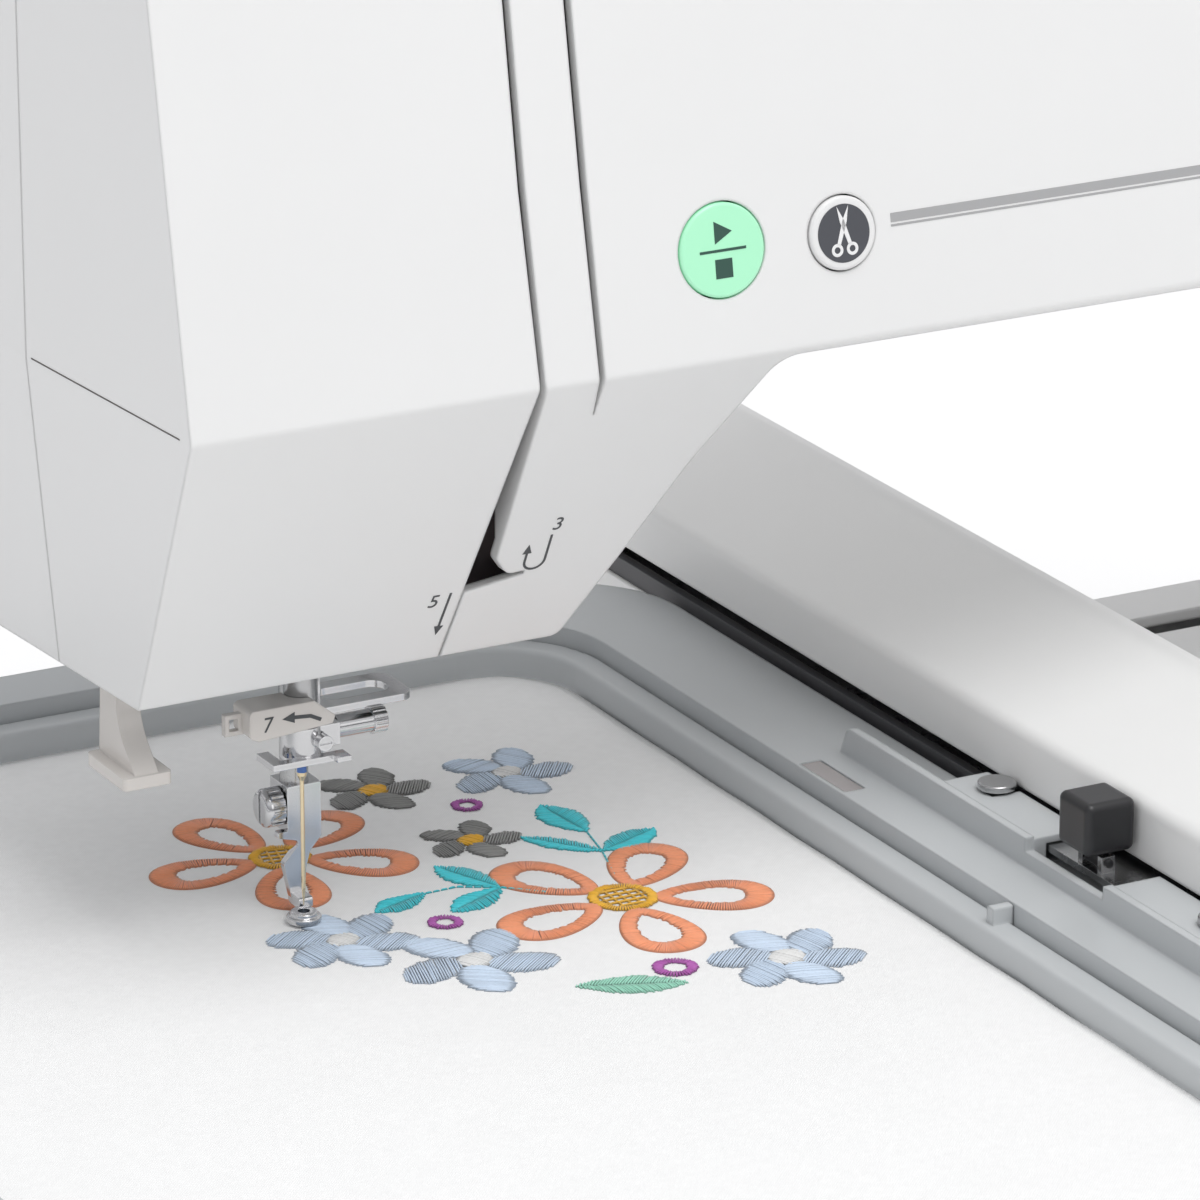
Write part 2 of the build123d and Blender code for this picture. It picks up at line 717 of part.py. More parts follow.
def embroidery_foot():
    """The shank plate, the arm that jogs to the left, and the ring round the needle."""
    plate = [(-0.9, 28.4, 0.4), (6.9, 28.4, 0.4), (6.9, 16.4, 0.4), (4.2, 13.4, 1.5), (3.2, 9.6, 1.5)]
    plate += [(2.9, 3.4, 0.6), (-0.2, 3.4, 0.6), (-1.9, 11.4, 1), (1.6, 15.2, 0.8), (1.2, 16.2, 0.4)]
    plate += [(-3.2, 17.4, 0.3), (-3.0, 18.6, 0.3), (-0.9, 18.6, 0)]
    shank = prism_y(outline(plate), 5.3, 7.1)
    wrap = block(-0.9, 6.9, 6, 13.4, 18, 28.4)
    neck = block(-0.2, 2.9, 1.6, 7.1, 2.2, 4.6)
    neck = softened(neck, neck.edges().filter_by(Axis.X), (0.8, 0.4))
    ring_disc = rod_z(0.35, 1.7, 0, 0, 3.7) + rod_z(1.7, 2.6, 0, 0, 2.9)
    ring_disc = softened(ring_disc, ring_disc.edges().filter_by(GeomType.CIRCLE), (0.35, 0.25))
    part = shank + wrap + neck + ring_disc
    part -= rod_z(-1, 4, 0, 0, 1.3)
    part -= rod_x(-12, 1.4, presser_y, 23.2, 1.75)
    part -= rod_z(10, 40, presser_x, presser_y, presser_r + 0.02)
    boss = rod_x(6.9, 7.4, presser_y, 23, 1.7)
    return part + boss


def foot_screw():
    shank = rod_x(-2.6, -0.6, presser_y, 23.2, 1.7)
    knob = rod_x(-5.6, -1.2, presser_y, 23.2, 4.15)
    knob = softened(knob, knob.edges().filter_by(lambda e: e.center().X < -5.5), (1.4, 1.0))
    for i in range(16):
        a = math.tau * i / 16
        knob -= rod_x(-4.0, -1, presser_y + 4.3 * math.cos(a), 23.2 + 4.3 * math.sin(a), 0.4)
    knob -= block(-5.8, -4.8, presser_y - 0.5, presser_y + 0.5, 15, 30)
    return shank + knob


def presser_lifter():
    """The flat lifting loop, hinged under the head."""
    plate = rounded(9.6, 32.4, 12.2, 26.4, 40.0, 41.6, 3)
    plate -= rounded(13.6, 29.2, 15.6, 23.0, 39, 43, 3)
    stem = block(8.6, 12.4, 16.4, 24.2, 40.0, 56.0)
    barrel = rod_y(16.4, 24.2, 10.2, 56.5, 2.6) - rod_y(15, 26, 10.2, 56.5, 1.25)
    return plate + stem + barrel - rod_y(15, 26, 10.2, 56.5, 1.25)


def threader_lever():
    x, y = -38.0, 5.8
    column = rounded(x - 2.65, x + 2.65, y - 3.8, y + 3.8, 41, 104, 0.9)
    foot = rounded(x - 5.4, x + 5.4, -7.3, 11.3, 39.4, 42.1, 1.2)
    flare = [(-6.6, 42, 0), (2.0, 50.5, 12), (2.0, 60, 0), (9.6, 60, 0), (11.0, 42, 0)]
    web = prism_x(outline(flare), x - 2.65, x + 2.65)
    return column + foot + web


def take_up_lever():
    y, z = lever_at
    part = block(36.0, 37.2, -38, y, z - 3.2, z + 3.2) + rod_x(34.6, 38.6, y, z, 5)
    part += rod_x(36.0, 37.2, -38, z, 3.6)
    return part - rod_x(35, 38, -38, z, 1.5) - rod_x(30, 42, y, z, 2.0 + run)


# --- buttons ------------------------------------------------------------


def button(at, r, proud):
    cap = front_face * Pos(at[0], at[1], (proud - 4.5) / 2) * Cylinder(r, proud + 4.5)
    rim = cap.edges().filter_by(lambda e: e.length > 6.2 * r - 1 and e.center().Y < front_at(150) + 1)
    return softened(cap, rim, (0.7, 0.4))


# --- carriage -------------------------------------------------------------


def bar_profile(inset):
    corners = [
        (bar_left, bar_low, 0.5),
        (bar_left, 29.6, 3.0),
        (190, 38, 20),
        (bar_right, 31, 9),
        (bar_right, bar_low, 0.5),
    ]
    return shrunk(outline(corners), inset)


def carriage_case():
    outer = prism_y(bar_profile(0), -bar_end, bar_end)
    ends = outer.edges().filter_by(lambda e: abs(abs(e.center().Y) - bar_end) < 0.1 and e.center().Z > 12)
    outer = softened(outer, ends, (4.0, 3.0, 2.0))
    part = outer - prism_y(bar_profile(2.6), -bar_end + 3, bar_end - 3)
    part -= block(bar_left + 2.6, bar_right - 2.6, -bar_end + 3, bar_end - 3, bar_low - 1, bar_low + 5)
    part -= block(bar_left - 1, bar_left + 4, -bar_end + 3, bar_end - 3, slot_low, slot_high)
    return part


def carriage_rail():
    return block(bar_left + 0.8, bar_left + 3.4, -bar_end + 3.4, bar_end - 3.4, slot_low + 0.2, 12.1)


def carriage_frame():
    """The floor of the bar, its end walls, and the feet that run on the rods."""
    x0, x1 = bar_left + 3.0, bar_right - 3.0
    end = bar_end - 3.4
    part = block(x0, x1, -end, end, 1.2, 3.2)
    for y in (-end, end - 2):
        wall_piece = block(x0 + 2, x1 - 12, y, y + 2, 3.2, 26)
        for x in guide_x:
            wall_piece -= rod_y(y - 1, y + 3, x, 20, 3.02)
        part += wall_piece
    for y in bar_feet_y:
        part += block(bar_foot_x - 9, bar_foot_x + 9, y - 4.5, y + 4.5, guide_z, 1.4)
        shoe = block(bar_foot_x - 12, bar_foot_x + 12, y - 8, y + 8, guide_z - 8, guide_z + 8)
        part += shoe
        part -= rod_x(bar_foot_x - 20, bar_foot_x + 20, y, guide_z, guide_r + run)
    return part


guide_x = (162.0, 180.0)


def y_guide_rods():
    end = bar_end - 3.5
    return group([rod_y(-end, end, x, 20, 3.0) for x in guide_x])


def y_drive():
    motor = rod_z(12.5, 28, 194.5, 202, 6.4) + rod_z(6, 12.5, 194.5, 202, 1.5)
    pulleys = [rod_z(6, 11, 194.5, y, 4.6) for y in (-202, 202)]
    path = Pos(194.5, 0) * Rot(0, 0, 90) * SlotCenterToCenter(404, 12)
    inner = Pos(194.5, 0) * Rot(0, 0, 90) * SlotCenterToCenter(404, 10)
    strap = prism_z(path, 6.6, 10.4) - prism_z(inner, 6.6, 10.4)
    return group([motor + pulleys[1], pulleys[0] + rod_z(3.3, 13, 194.5, -202, 1.5), strap])


def x_guide_rods():
    reach = carriage_travel + 20
    return group([rod_x(bar_foot_x - reach, bar_foot_x + reach, y, guide_z, guide_r) for y in bar_feet_y])


def x_drive():
    y = bar_feet_y[0] + 17
    x0, x1 = bar_foot_x - 112, bar_foot_x + 112
    motor = rod_z(table_z + 8, -40, x1, y, 14) + rod_z(-40, -24, x1, y, 2.4) + rod_z(-35, -26, x1, y, 5.6)
    idler = rod_z(-35, -26, x0, y, 5.6) + rod_z(-38, -24, x0, y, 2)
    outer = Pos((x0 + x1) / 2, y) * SlotCenterToCenter(x1 - x0, 13.8)
    inner = Pos((x0 + x1) / 2, y) * SlotCenterToCenter(x1 - x0, 11.8)
    return group([motor, idler, prism_z(outer, -34, -27) - prism_z(inner, -34, -27)])


arm_plate_z = (12.45, 14.05)
post_y = (43.0, -43.0)


def hoop_carriage():
    """The block on the bar's rods, the plate that comes out of the slot, and two posts."""
    z0, z1 = arm_plate_z
    y0, y1 = hoop_y - block_half, hoop_y + block_half
    part = block(155.5, 186, y0, y1, z0, 27)
    for x in guide_x:
        part -= rod_y(y0 - 1, y1 + 1, x, 20, 3.0 + run)
    part += block(149.2, 156, y0 + 2, y1 - 2, z0, z1)
    part += rounded(140.7, 149.6, hoop_y - 51, hoop_y + 51, z0, z1, 2)
    for dy in post_y:
        post = rod_z(z0, 16.6, 145.2, hoop_y + dy, 2.4)
        head = rod_z(16.6, 18.0, 145.2, hoop_y + dy, 4.2)
        head = softened(head, head.edges().filter_by(lambda e: e.center().Z > 17.9), (0.5,))
        part += post + head
    for dy in (-4.6, 3.0):
        part += block(141.6, 144.8, hoop_y + dy, hoop_y + dy + 1.6, z0, 17.6)
    return part - rod_y(hoop_y - 8, hoop_y + 8, 143.2, 16.2, 0.95)


def lock_lever():
    """The black knob that locks the hoop, on its tilting stem."""
    knob = block(137.0, 148.9, hoop_y - 6, hoop_y + 6, 18.6, 30.2)
    knob = softened(knob, knob.edges(), (1.6, 1.0))
    stem = block(141.9, 144.5, hoop_y - 2.6, hoop_y + 2.6, 15.0, 19.4)
    pin = rod_y(hoop_y - 5.2, hoop_y + 5.2, 143.2, 16.2, 0.9)
    return knob + stem + pin


def hoop_outline(grow):
    return Pos(0, hoop_y) * RectangleRounded(window_x + 2 * grow, window_y + 2 * grow, window_r + grow)


def hoop_inner():
    part = prism_z(hoop_outline(ring), hoop_low, ring_top) - prism_z(hoop_outline(0), hoop_low - 1, ring_top + 1)
    top = part.edges().filter_by(lambda e: e.center().Z > ring_top - 0.1)
    part = softened(part, top, (1.3, 0.8))
    for sign in (-1, 1):
        tab = rod_x(sign * 118.6 - 1.0, sign * 118.6 + 1.0, hoop_y, ring_top - 0.6, 4.4)
        tab += rod_x(sign * 121.0 - 1.6, sign * 121.0 + 1.6, hoop_y, ring_top - 0.6, 4.4)
        x0, x1 = sign * 120 - 2.4, sign * 120 + 2.4
        tab &= block(x0, x1, hoop_y - 1.2, hoop_y + 1.2, ring_top - 1, ring_top + 4.6)
        part += tab
    return part


def bracket_pad(y0, y1):
    """A raised pad that hooks over the carriage plate, under the heads of its posts."""
    foot = flange_top - 0.2
    face = [(136.0, foot, 0), (137.3, 15.9, 1.0), (149.3, 15.9, 0.3), (149.3, foot, 0)]
    pad = prism_y(outline(face), y0, y1)
    pad -= block(140.3, 150, y0 - 1, y1 + 1, flange_top, 14.4)
    return pad


def hoop_outer():
    gap = ring + 0.4
    inside = prism_z(hoop_outline(gap), hoop_low - 1, 30)
    band = prism_z(hoop_outline(gap + 4), hoop_low, flange_top)
    flange = rounded(hoop_left, hoop_right, hoop_y - hoop_end, hoop_y + hoop_end, flange_low, flange_top, 30)
    part = band + flange - inside
    part -= rounded(138.0, 150, hoop_y - 60, hoop_y + 60, flange_top - 0.4, 30, 1)
    pads = bracket_pad(hoop_y + 15, hoop_y + 53) + bracket_pad(hoop_y - 53, hoop_y - 15)
    for dy in post_y:
        pads -= block(142.2, 150, hoop_y + dy - 3, hoop_y + dy + 3, 13, 17)
    part += pads
    rim = [(hoop_y - 92, flange_top - 0.2, 0), (hoop_y - 89, rim_top, 2), (hoop_y + 89, rim_top, 2)]
    rim += [(hoop_y + 92, flange_top - 0.2, 0)]
    wall_piece = prism_x(outline(rim), 135.2, 137.4)
    wall_piece -= block(130, 140, hoop_y - 15.2, hoop_y + 15.2, 13.4, 20)
    part += wall_piece
    for y in (hoop_y - 80, hoop_y + 80):
        part -= rounded(123.8, 129.0, y - 9.8, y + 9.8, flange_top - 0.8, 20, 0.6)
    for y0 in (-213.0, -198.5):
        part += block(-142, -130, y0, y0 + 11.5, 0.0, flange_top)
    part -= block(-145, -120, -201.5, -198.5, -5, 20)
    part -= rod_y(-220, -180, -137.5, 4.6, 2.3)
    return part


def hoop_screw():
    shank = rod_y(-214, -184, -137.5, 4.6, 2.0)
    knob = rod_y(-226, -213.6, -137.5, 4.6, 5.2)
    for i in range(12):
        a = math.tau * i / 12
        knob -= rod_y(-227, -213, -137.5 + 5.5 * math.cos(a), 4.6 + 5.5 * math.sin(a), 0.7)
    return shank + knob


def fabric():
    return prism_z(hoop_outline(-0.3), -1.0, -0.2)


def build():
    shell = casing()
    parts = {
        "base_shell": base_shell(),
        "bottom_plate": bottom_plate(),
        "rubber_feet": rubber_feet(),
        "case_fasteners": group([case_screws(), handle_pins()]),
        "extension_table": extension_table(),
        "needle_plate": needle_plate(),
        "bobbin_cover": bobbin_cover(),
        "rotary_hook": rotary_hook(),
        "bobbin_case": bobbin_case(),
        "bobbin": bobbin(),
        "face_cover": face_cover(shell),
        "front_case": front_case(shell),
        "rear_case": rear_case(shell),
        "head_base_plate": head_base_plate(),
        "thread_channel": thread_channel(),
        "screen_bezel": screen_bezel(),
        "touch_screen": touch_screen(),
        "main_frame": main_frame(),
        "shaft_bushes": shaft_bushes(),
        "main_shaft": main_shaft(),
        "hand_wheel": hand_wheel(),
        "lower_shaft": lower_shaft(),
        "timing_belts": timing_belts(),
        "main_motor": main_motor(),
        "motor_shaft": motor_shaft(),
        "circuit_boards": circuit_boards(),
        "power_inlet": power_inlet(),
        "power_switch": power_switch(),
        "top_lid": top_lid(),
        "carry_handle": carry_handle(),
        "spool_tray": spool_tray(),
        "spool_cap": spool_cap(),
        "winder_spindle": winder_spindle(),
        "needle_bar": needle_bar(),
        "needle_clamp": needle_clamp(),
        "needle_cover": needle_cover(),
        "needle": needle(),
        "needle_clamp_screw": needle_clamp_screw(),
        "presser_bar": presser_bar(),
        "presser_spring": presser_spring(),
        "embroidery_foot": embroidery_foot(),
        "foot_screw": foot_screw(),
        "presser_lifter": presser_lifter(),
        "threader_lever": threader_lever(),
        "take_up_lever": take_up_lever(),
        "start_stop_button": button(start_at, start_r, 0.5),
        "cutter_button": button(cutter_at, cutter_r, 0.9),
        "carriage_case": carriage_case(),
        "carriage_rail": carriage_rail(),
        "carriage_frame": carriage_frame(),
        "y_guide_rods": y_guide_rods(),
        "y_drive": y_drive(),
        "x_guide_rods": x_guide_rods(),
        "x_drive": x_drive(),
        "hoop_carriage": hoop_carriage(),
        "lock_lever": lock_lever(),
        "hoop_outer": hoop_outer(),
        "hoop_inner": hoop_inner(),
        "hoop_screw": hoop_screw(),
        "fabric": fabric(),
    }
    return parts


os.makedirs("parts", exist_ok=True)
made = build()
boxes = [shape.bounding_box() for shape in made.values()]
middle_x = (min(b.min.X for b in boxes) + max(b.max.X for b in boxes)) / 2
middle_y = (min(b.min.Y for b in boxes) + max(b.max.Y for b in boxes)) / 2
print("needle is at", round(-middle_x, 3), round(-middle_y, 3), round(-table_z, 3))
for name, shape in made.items():
    export_step(Pos(-middle_x, -middle_y, -table_z) * shape, f"parts/{name}.step")
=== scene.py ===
import bpy
import math
import random
from mathutils import Matrix, Vector


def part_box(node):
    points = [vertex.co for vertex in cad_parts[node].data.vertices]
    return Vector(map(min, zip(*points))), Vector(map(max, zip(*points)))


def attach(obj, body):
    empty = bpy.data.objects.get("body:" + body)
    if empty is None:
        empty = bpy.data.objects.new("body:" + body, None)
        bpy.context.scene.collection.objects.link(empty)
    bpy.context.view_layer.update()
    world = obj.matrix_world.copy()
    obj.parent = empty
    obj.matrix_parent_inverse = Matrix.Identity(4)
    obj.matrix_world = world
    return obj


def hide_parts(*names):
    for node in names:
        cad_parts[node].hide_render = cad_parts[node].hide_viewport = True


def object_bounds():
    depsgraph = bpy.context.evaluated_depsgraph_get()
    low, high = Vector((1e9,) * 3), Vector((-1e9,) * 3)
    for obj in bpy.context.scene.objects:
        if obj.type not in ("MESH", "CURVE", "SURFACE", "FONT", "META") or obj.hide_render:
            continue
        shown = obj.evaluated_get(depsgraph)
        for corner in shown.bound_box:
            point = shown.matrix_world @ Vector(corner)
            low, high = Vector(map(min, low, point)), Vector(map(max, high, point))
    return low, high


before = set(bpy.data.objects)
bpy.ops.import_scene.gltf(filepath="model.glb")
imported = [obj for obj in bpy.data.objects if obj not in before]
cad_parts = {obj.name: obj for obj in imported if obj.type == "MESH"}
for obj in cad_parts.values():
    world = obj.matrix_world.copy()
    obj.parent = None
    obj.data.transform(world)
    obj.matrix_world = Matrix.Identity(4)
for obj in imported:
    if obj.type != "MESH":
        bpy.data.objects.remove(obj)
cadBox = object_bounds()
print("stage: frame loaded")

mm = 0.001
needleLow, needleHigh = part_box("needle")
clothLow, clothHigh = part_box("fabric")
# everything below is placed from the point where the needle meets the cloth
needleMiddle = (needleLow + needleHigh) / 2
needlePoint = Vector((needleMiddle.x, needleMiddle.y, clothHigh.z + 0.2 * mm))


def at(x, y, z):
    return needlePoint + Vector((x, y, z)) * mm


# shader groups shared by the finishes

def startGroup(name, inputs, outputs):
    tree = bpy.data.node_groups.new(name, "ShaderNodeTree")
    for label, kind, value in inputs:
        socket = tree.interface.new_socket(label, in_out="INPUT", socket_type=kind)
        if value is not None:
            socket.default_value = value
    for label, kind in outputs:
        tree.interface.new_socket(label, in_out="OUTPUT", socket_type=kind)
    return tree, tree.nodes.new("NodeGroupInput"), tree.nodes.new("NodeGroupOutput")


def addNode(tree, kind, **settings):
    node = tree.nodes.new(kind)
    for key, value in settings.items():
        setattr(node, key, value)
    return node


def wire(tree, source, target):
    tree.links.new(source, target)


def mathNode(tree, operation, first, second=None, clamp=False):
    node = addNode(tree, "ShaderNodeMath", operation=operation, use_clamp=clamp)
    for socket, value in zip(node.inputs, (first, second)):
        if value is None:
            continue
        if isinstance(value, (int, float)):
            socket.default_value = value
        else:
            wire(tree, value, socket)
    return node.outputs[0]


def noiseNode(tree, vector, scale, detail=3.0, rough=0.55):
    node = addNode(tree, "ShaderNodeTexNoise")
    wire(tree, vector, node.inputs["Vector"])
    node.inputs["Detail"].default_value = detail
    node.inputs["Roughness"].default_value = rough
    if isinstance(scale, (int, float)):
        node.inputs["Scale"].default_value = scale
    else:
        wire(tree, scale, node.inputs["Scale"])
    return node.outputs["Fac"]


def buildMouldedGrain():
    # fine pebble of moulded plastic, with a slow drift in shade
    tree, ins, outs = startGroup("mouldedGrain",
                                 [("Scale", "NodeSocketFloat", 2600.0), ("Drift", "NodeSocketFloat", 7.0)],
                                 [("Height", "NodeSocketFloat"), ("Shade", "NodeSocketFloat")])
    place = addNode(tree, "ShaderNodeTexCoord").outputs["Object"]
    pebble = noiseNode(tree, place, ins.outputs["Scale"], 2.0)
    wire(tree, pebble, outs.inputs["Height"])
    wire(tree, noiseNode(tree, place, ins.outputs["Drift"], 4.0), outs.inputs["Shade"])
    return tree


def buildEdgeWear():
    # mask of the outer edges, broken up by noise
    tree, ins, outs = startGroup("edgeWear",
                                 [("Breakup", "NodeSocketFloat", 260.0), ("Gain", "NodeSocketFloat", 2.0)],
                                 [("Mask", "NodeSocketFloat")])
    soft = addNode(tree, "ShaderNodeBevel", samples=4)
    soft.inputs["Radius"].default_value = 0.0009
    plain = addNode(tree, "ShaderNodeNewGeometry")
    turn = addNode(tree, "ShaderNodeVectorMath", operation="DOT_PRODUCT")
    wire(tree, soft.outputs[0], turn.inputs[0])
    wire(tree, plain.outputs["Normal"], turn.inputs[1])
    edge = mathNode(tree, "MULTIPLY", mathNode(tree, "SUBTRACT", 1.0, turn.outputs["Value"]), 7.0, True)
    place = addNode(tree, "ShaderNodeTexCoord").outputs["Object"]
    rough = noiseNode(tree, place, ins.outputs["Breakup"], 4.0)
    worn = mathNode(tree, "MULTIPLY", mathNode(tree, "MULTIPLY", edge, rough), ins.outputs["Gain"], True)
    wire(tree, worn, outs.inputs["Mask"])
    return tree


def buildDustVeil():
    # dust settles on faces that look up
    tree, ins, outs = startGroup("dustVeil", [("Amount", "NodeSocketFloat", 0.2)],
                                 [("Mask", "NodeSocketFloat")])
    plain = addNode(tree, "ShaderNodeNewGeometry")
    split = addNode(tree, "ShaderNodeSeparateXYZ")
    wire(tree, plain.outputs["Normal"], split.inputs[0])
    place = addNode(tree, "ShaderNodeTexCoord").outputs["Object"]
    patch = noiseNode(tree, place, 38.0, 6.0, 0.65)
    up = mathNode(tree, "MULTIPLY", mathNode(tree, "MAXIMUM", split.outputs["Z"], 0.0), patch)
    wire(tree, mathNode(tree, "MULTIPLY", up, ins.outputs["Amount"], True), outs.inputs["Mask"])
    return tree


def buildBrushedLines():
    # long fine scratches along one axis
    tree, ins, outs = startGroup("brushedLines",
                                 [("Stretch", "NodeSocketVector", (30.0, 1500.0, 1500.0))],
                                 [("Height", "NodeSocketFloat"), ("Smudge", "NodeSocketFloat")])
    place = addNode(tree, "ShaderNodeTexCoord").outputs["Object"]
    scaled = addNode(tree, "ShaderNodeVectorMath", operation="MULTIPLY")
    wire(tree, place, scaled.inputs[0])
    wire(tree, ins.outputs["Stretch"], scaled.inputs[1])
    wire(tree, noiseNode(tree, scaled.outputs[0], 1.0, 3.0), outs.inputs["Height"])
    wire(tree, noiseNode(tree, place, 90.0, 5.0, 0.6), outs.inputs["Smudge"])
    return tree


def buildPlainWeave():
    # over-and-under threads of a plain woven cloth
    tree, ins, outs = startGroup("plainWeave", [("Pitch", "NodeSocketFloat", 9000.0)],
                                 [("Height", "NodeSocketFloat"), ("Shade", "NodeSocketFloat")])
    place = addNode(tree, "ShaderNodeTexCoord").outputs["Object"]
    split = addNode(tree, "ShaderNodeSeparateXYZ")
    wire(tree, place, split.inputs[0])
    waves = []
    for axis in ("X", "Y"):
        run = mathNode(tree, "MULTIPLY", split.outputs[axis], ins.outputs["Pitch"])
        waves.append(mathNode(tree, "SINE", run))
    weave = mathNode(tree, "MULTIPLY", waves[0], waves[1])
    slub = noiseNode(tree, place, 420.0, 3.0)
    wire(tree, mathNode(tree, "ADD", mathNode(tree, "MULTIPLY", weave, 0.5), slub), outs.inputs["Height"])
    wire(tree, noiseNode(tree, place, 55.0, 5.0), outs.inputs["Shade"])
    return tree


groups = {
    "grain": buildMouldedGrain(),
    "wear": buildEdgeWear(),
    "dust": buildDustVeil(),
    "brush": buildBrushedLines(),
    "weave": buildPlainWeave(),
}


# finishes

def useGroup(tree, key, **values):
    node = addNode(tree, "ShaderNodeGroup", node_tree=groups[key])
    for label, value in values.items():
        node.inputs[label].default_value = value
    return node


def mixColour(tree, mask, low, high):
    node = addNode(tree, "ShaderNodeMix", data_type="RGBA")
    sockets = [s for s in node.inputs if s.type == "RGBA"]
    for socket, value in zip(sockets, (low, high)):
        if isinstance(value, (tuple, list)):
            socket.default_value = (*value[:3], 1.0)
        else:
            wire(tree, value, socket)
    wire(tree, mask, node.inputs["Factor"])
    return [s for s in node.outputs if s.type == "RGBA"][0]


def spread(tree, value, low, high):
    node = addNode(tree, "ShaderNodeMapRange")
    wire(tree, value, node.inputs["Value"])
    node.inputs["From Min"].default_value = 0.3
    node.inputs["From Max"].default_value = 0.7
    node.inputs["To Min"].default_value = low
    node.inputs["To Max"].default_value = high
    return node.outputs["Result"]


def startFinish(name):
    material = bpy.data.materials.new(name)
    material.use_nodes = True
    return material, material.node_tree, material.node_tree.nodes["Principled BSDF"]


def setBump(tree, shader, height, distance, strength, softRadius=None):
    bump = addNode(tree, "ShaderNodeBump")
    bump.inputs["Distance"].default_value = distance
    bump.inputs["Strength"].default_value = strength
    wire(tree, height, bump.inputs["Height"])
    if softRadius:
        soft = addNode(tree, "ShaderNodeBevel", samples=6)
        soft.inputs["Radius"].default_value = softRadius
        wire(tree, soft.outputs[0], bump.inputs["Normal"])
    wire(tree, bump.outputs[0], shader.inputs["Normal"])


def shade(colour, factor):
    return tuple(min(1.0, c * factor) for c in colour)


def plasticFinish(name, look):
    material, tree, shader = startFinish(name)
    grain = useGroup(tree, "grain", Scale=look["grain"])
    wear = useGroup(tree, "wear", Gain=look["wear"])
    dust = useGroup(tree, "dust", Amount=look["dust"])
    base = mixColour(tree, grain.outputs["Shade"], shade(look["colour"], 0.965), shade(look["colour"], 1.03))
    worn = mixColour(tree, wear.outputs["Mask"], base, shade(look["colour"], look["edge"]))
    dusty = mixColour(tree, dust.outputs["Mask"], worn, (0.62, 0.61, 0.59))
    wire(tree, dusty, shader.inputs["Base Color"])
    wire(tree, spread(tree, grain.outputs["Shade"], look["rough"] - 0.04, look["rough"] + 0.05),
         shader.inputs["Roughness"])
    setBump(tree, shader, grain.outputs["Height"], 0.00004, look["pebble"], look["soft"])
    shader.inputs["IOR"].default_value = 1.49
    shader.inputs["Coat Weight"].default_value = look.get("coat", 0.0)
    shader.inputs["Coat Roughness"].default_value = 0.12
    shader.inputs["Transmission Weight"].default_value = look.get("clear", 0.0)
    if look.get("glow"):
        shader.inputs["Emission Color"].default_value = (*look["glow"], 1.0)
        shader.inputs["Emission Strength"].default_value = look["glowStrength"]
    return material


def metalFinish(name, look):
    material, tree, shader = startFinish(name)
    brush = useGroup(tree, "brush", Stretch=look["stretch"])
    wear = useGroup(tree, "wear", Gain=1.2)
    tint = mixColour(tree, brush.outputs["Smudge"], shade(look["colour"], 0.86), shade(look["colour"], 1.06))
    worn = mixColour(tree, wear.outputs["Mask"], tint, shade(look["colour"], 1.25))
    wire(tree, worn, shader.inputs["Base Color"])
    wire(tree, spread(tree, brush.outputs["Smudge"], look["rough"] - 0.04, look["rough"] + 0.09),
         shader.inputs["Roughness"])
    shader.inputs["Metallic"].default_value = 1.0
    setBump(tree, shader, brush.outputs["Height"], 0.00002, look["scratch"], look.get("soft", 0.00018))
    return material


def clothFinish(name, look):
    material, tree, shader = startFinish(name)
    weave = useGroup(tree, "weave", Pitch=look["pitch"])
    base = mixColour(tree, weave.outputs["Shade"], shade(look["colour"], 0.965), shade(look["colour"], 1.02))
    # painted shade: the low points of the weave are darkened in the colour
    paintedWeaveShade = spread(tree, weave.outputs["Height"], 0.0, 1.0)
    wire(tree, mixColour(tree, paintedWeaveShade, shade(look["colour"], 0.93), base), shader.inputs["Base Color"])
    wire(tree, spread(tree, weave.outputs["Shade"], look["rough"] - 0.05, look["rough"] + 0.05),
         shader.inputs["Roughness"])
    setBump(tree, shader, weave.outputs["Height"], 0.00012, look["depth"])
    shader.inputs["Sheen Weight"].default_value = look["sheen"]
    shader.inputs["Sheen Roughness"].default_value = 0.4
    return material


def threadFinish(name, look):
    # twisted rayon: strong sheen, and light and dark strands
    material, tree, shader = startFinish(name)
    place = addNode(tree, "ShaderNodeTexCoord").outputs["Object"]
    strand = noiseNode(tree, place, 1400.0, 2.0)
    # painted highlight on the tops of the stitches and painted shade in the hollows between them, set by each
    # point's height
    height = addNode(tree, "ShaderNodeSeparateXYZ")
    wire(tree, place, height.inputs[0])
    groove = addNode(tree, "ShaderNodeMapRange")
    wire(tree, height.outputs["Z"], groove.inputs["Value"])
    low = needlePoint.z + look["level"] * mm
    groove.inputs["From Min"].default_value = low - 0.05 * mm
    groove.inputs["From Max"].default_value = low + 0.20 * mm
    paintedShadeAndHighlight = mixColour(tree, groove.outputs["Result"], shade(look["colour"], 0.34), shade(look["colour"], 1.12))
    tinted = mixColour(tree, spread(tree, strand, 0.0, 1.0), shade(look["colour"], 0.88),
                       shade(look["colour"], 1.1))
    blend = addNode(tree, "ShaderNodeMix", data_type="RGBA")
    blend.inputs["Factor"].default_value = 0.35
    sockets = [socket for socket in blend.inputs if socket.type == "RGBA"]
    wire(tree, paintedShadeAndHighlight, sockets[0])
    wire(tree, tinted, sockets[1])
    wire(tree, [socket for socket in blend.outputs if socket.type == "RGBA"][0], shader.inputs["Base Color"])
    wire(tree, spread(tree, strand, 0.32, 0.5), shader.inputs["Roughness"])
    setBump(tree, shader, strand, 0.0001, 0.5)
    shader.inputs["Sheen Weight"].default_value = 0.3
    return material


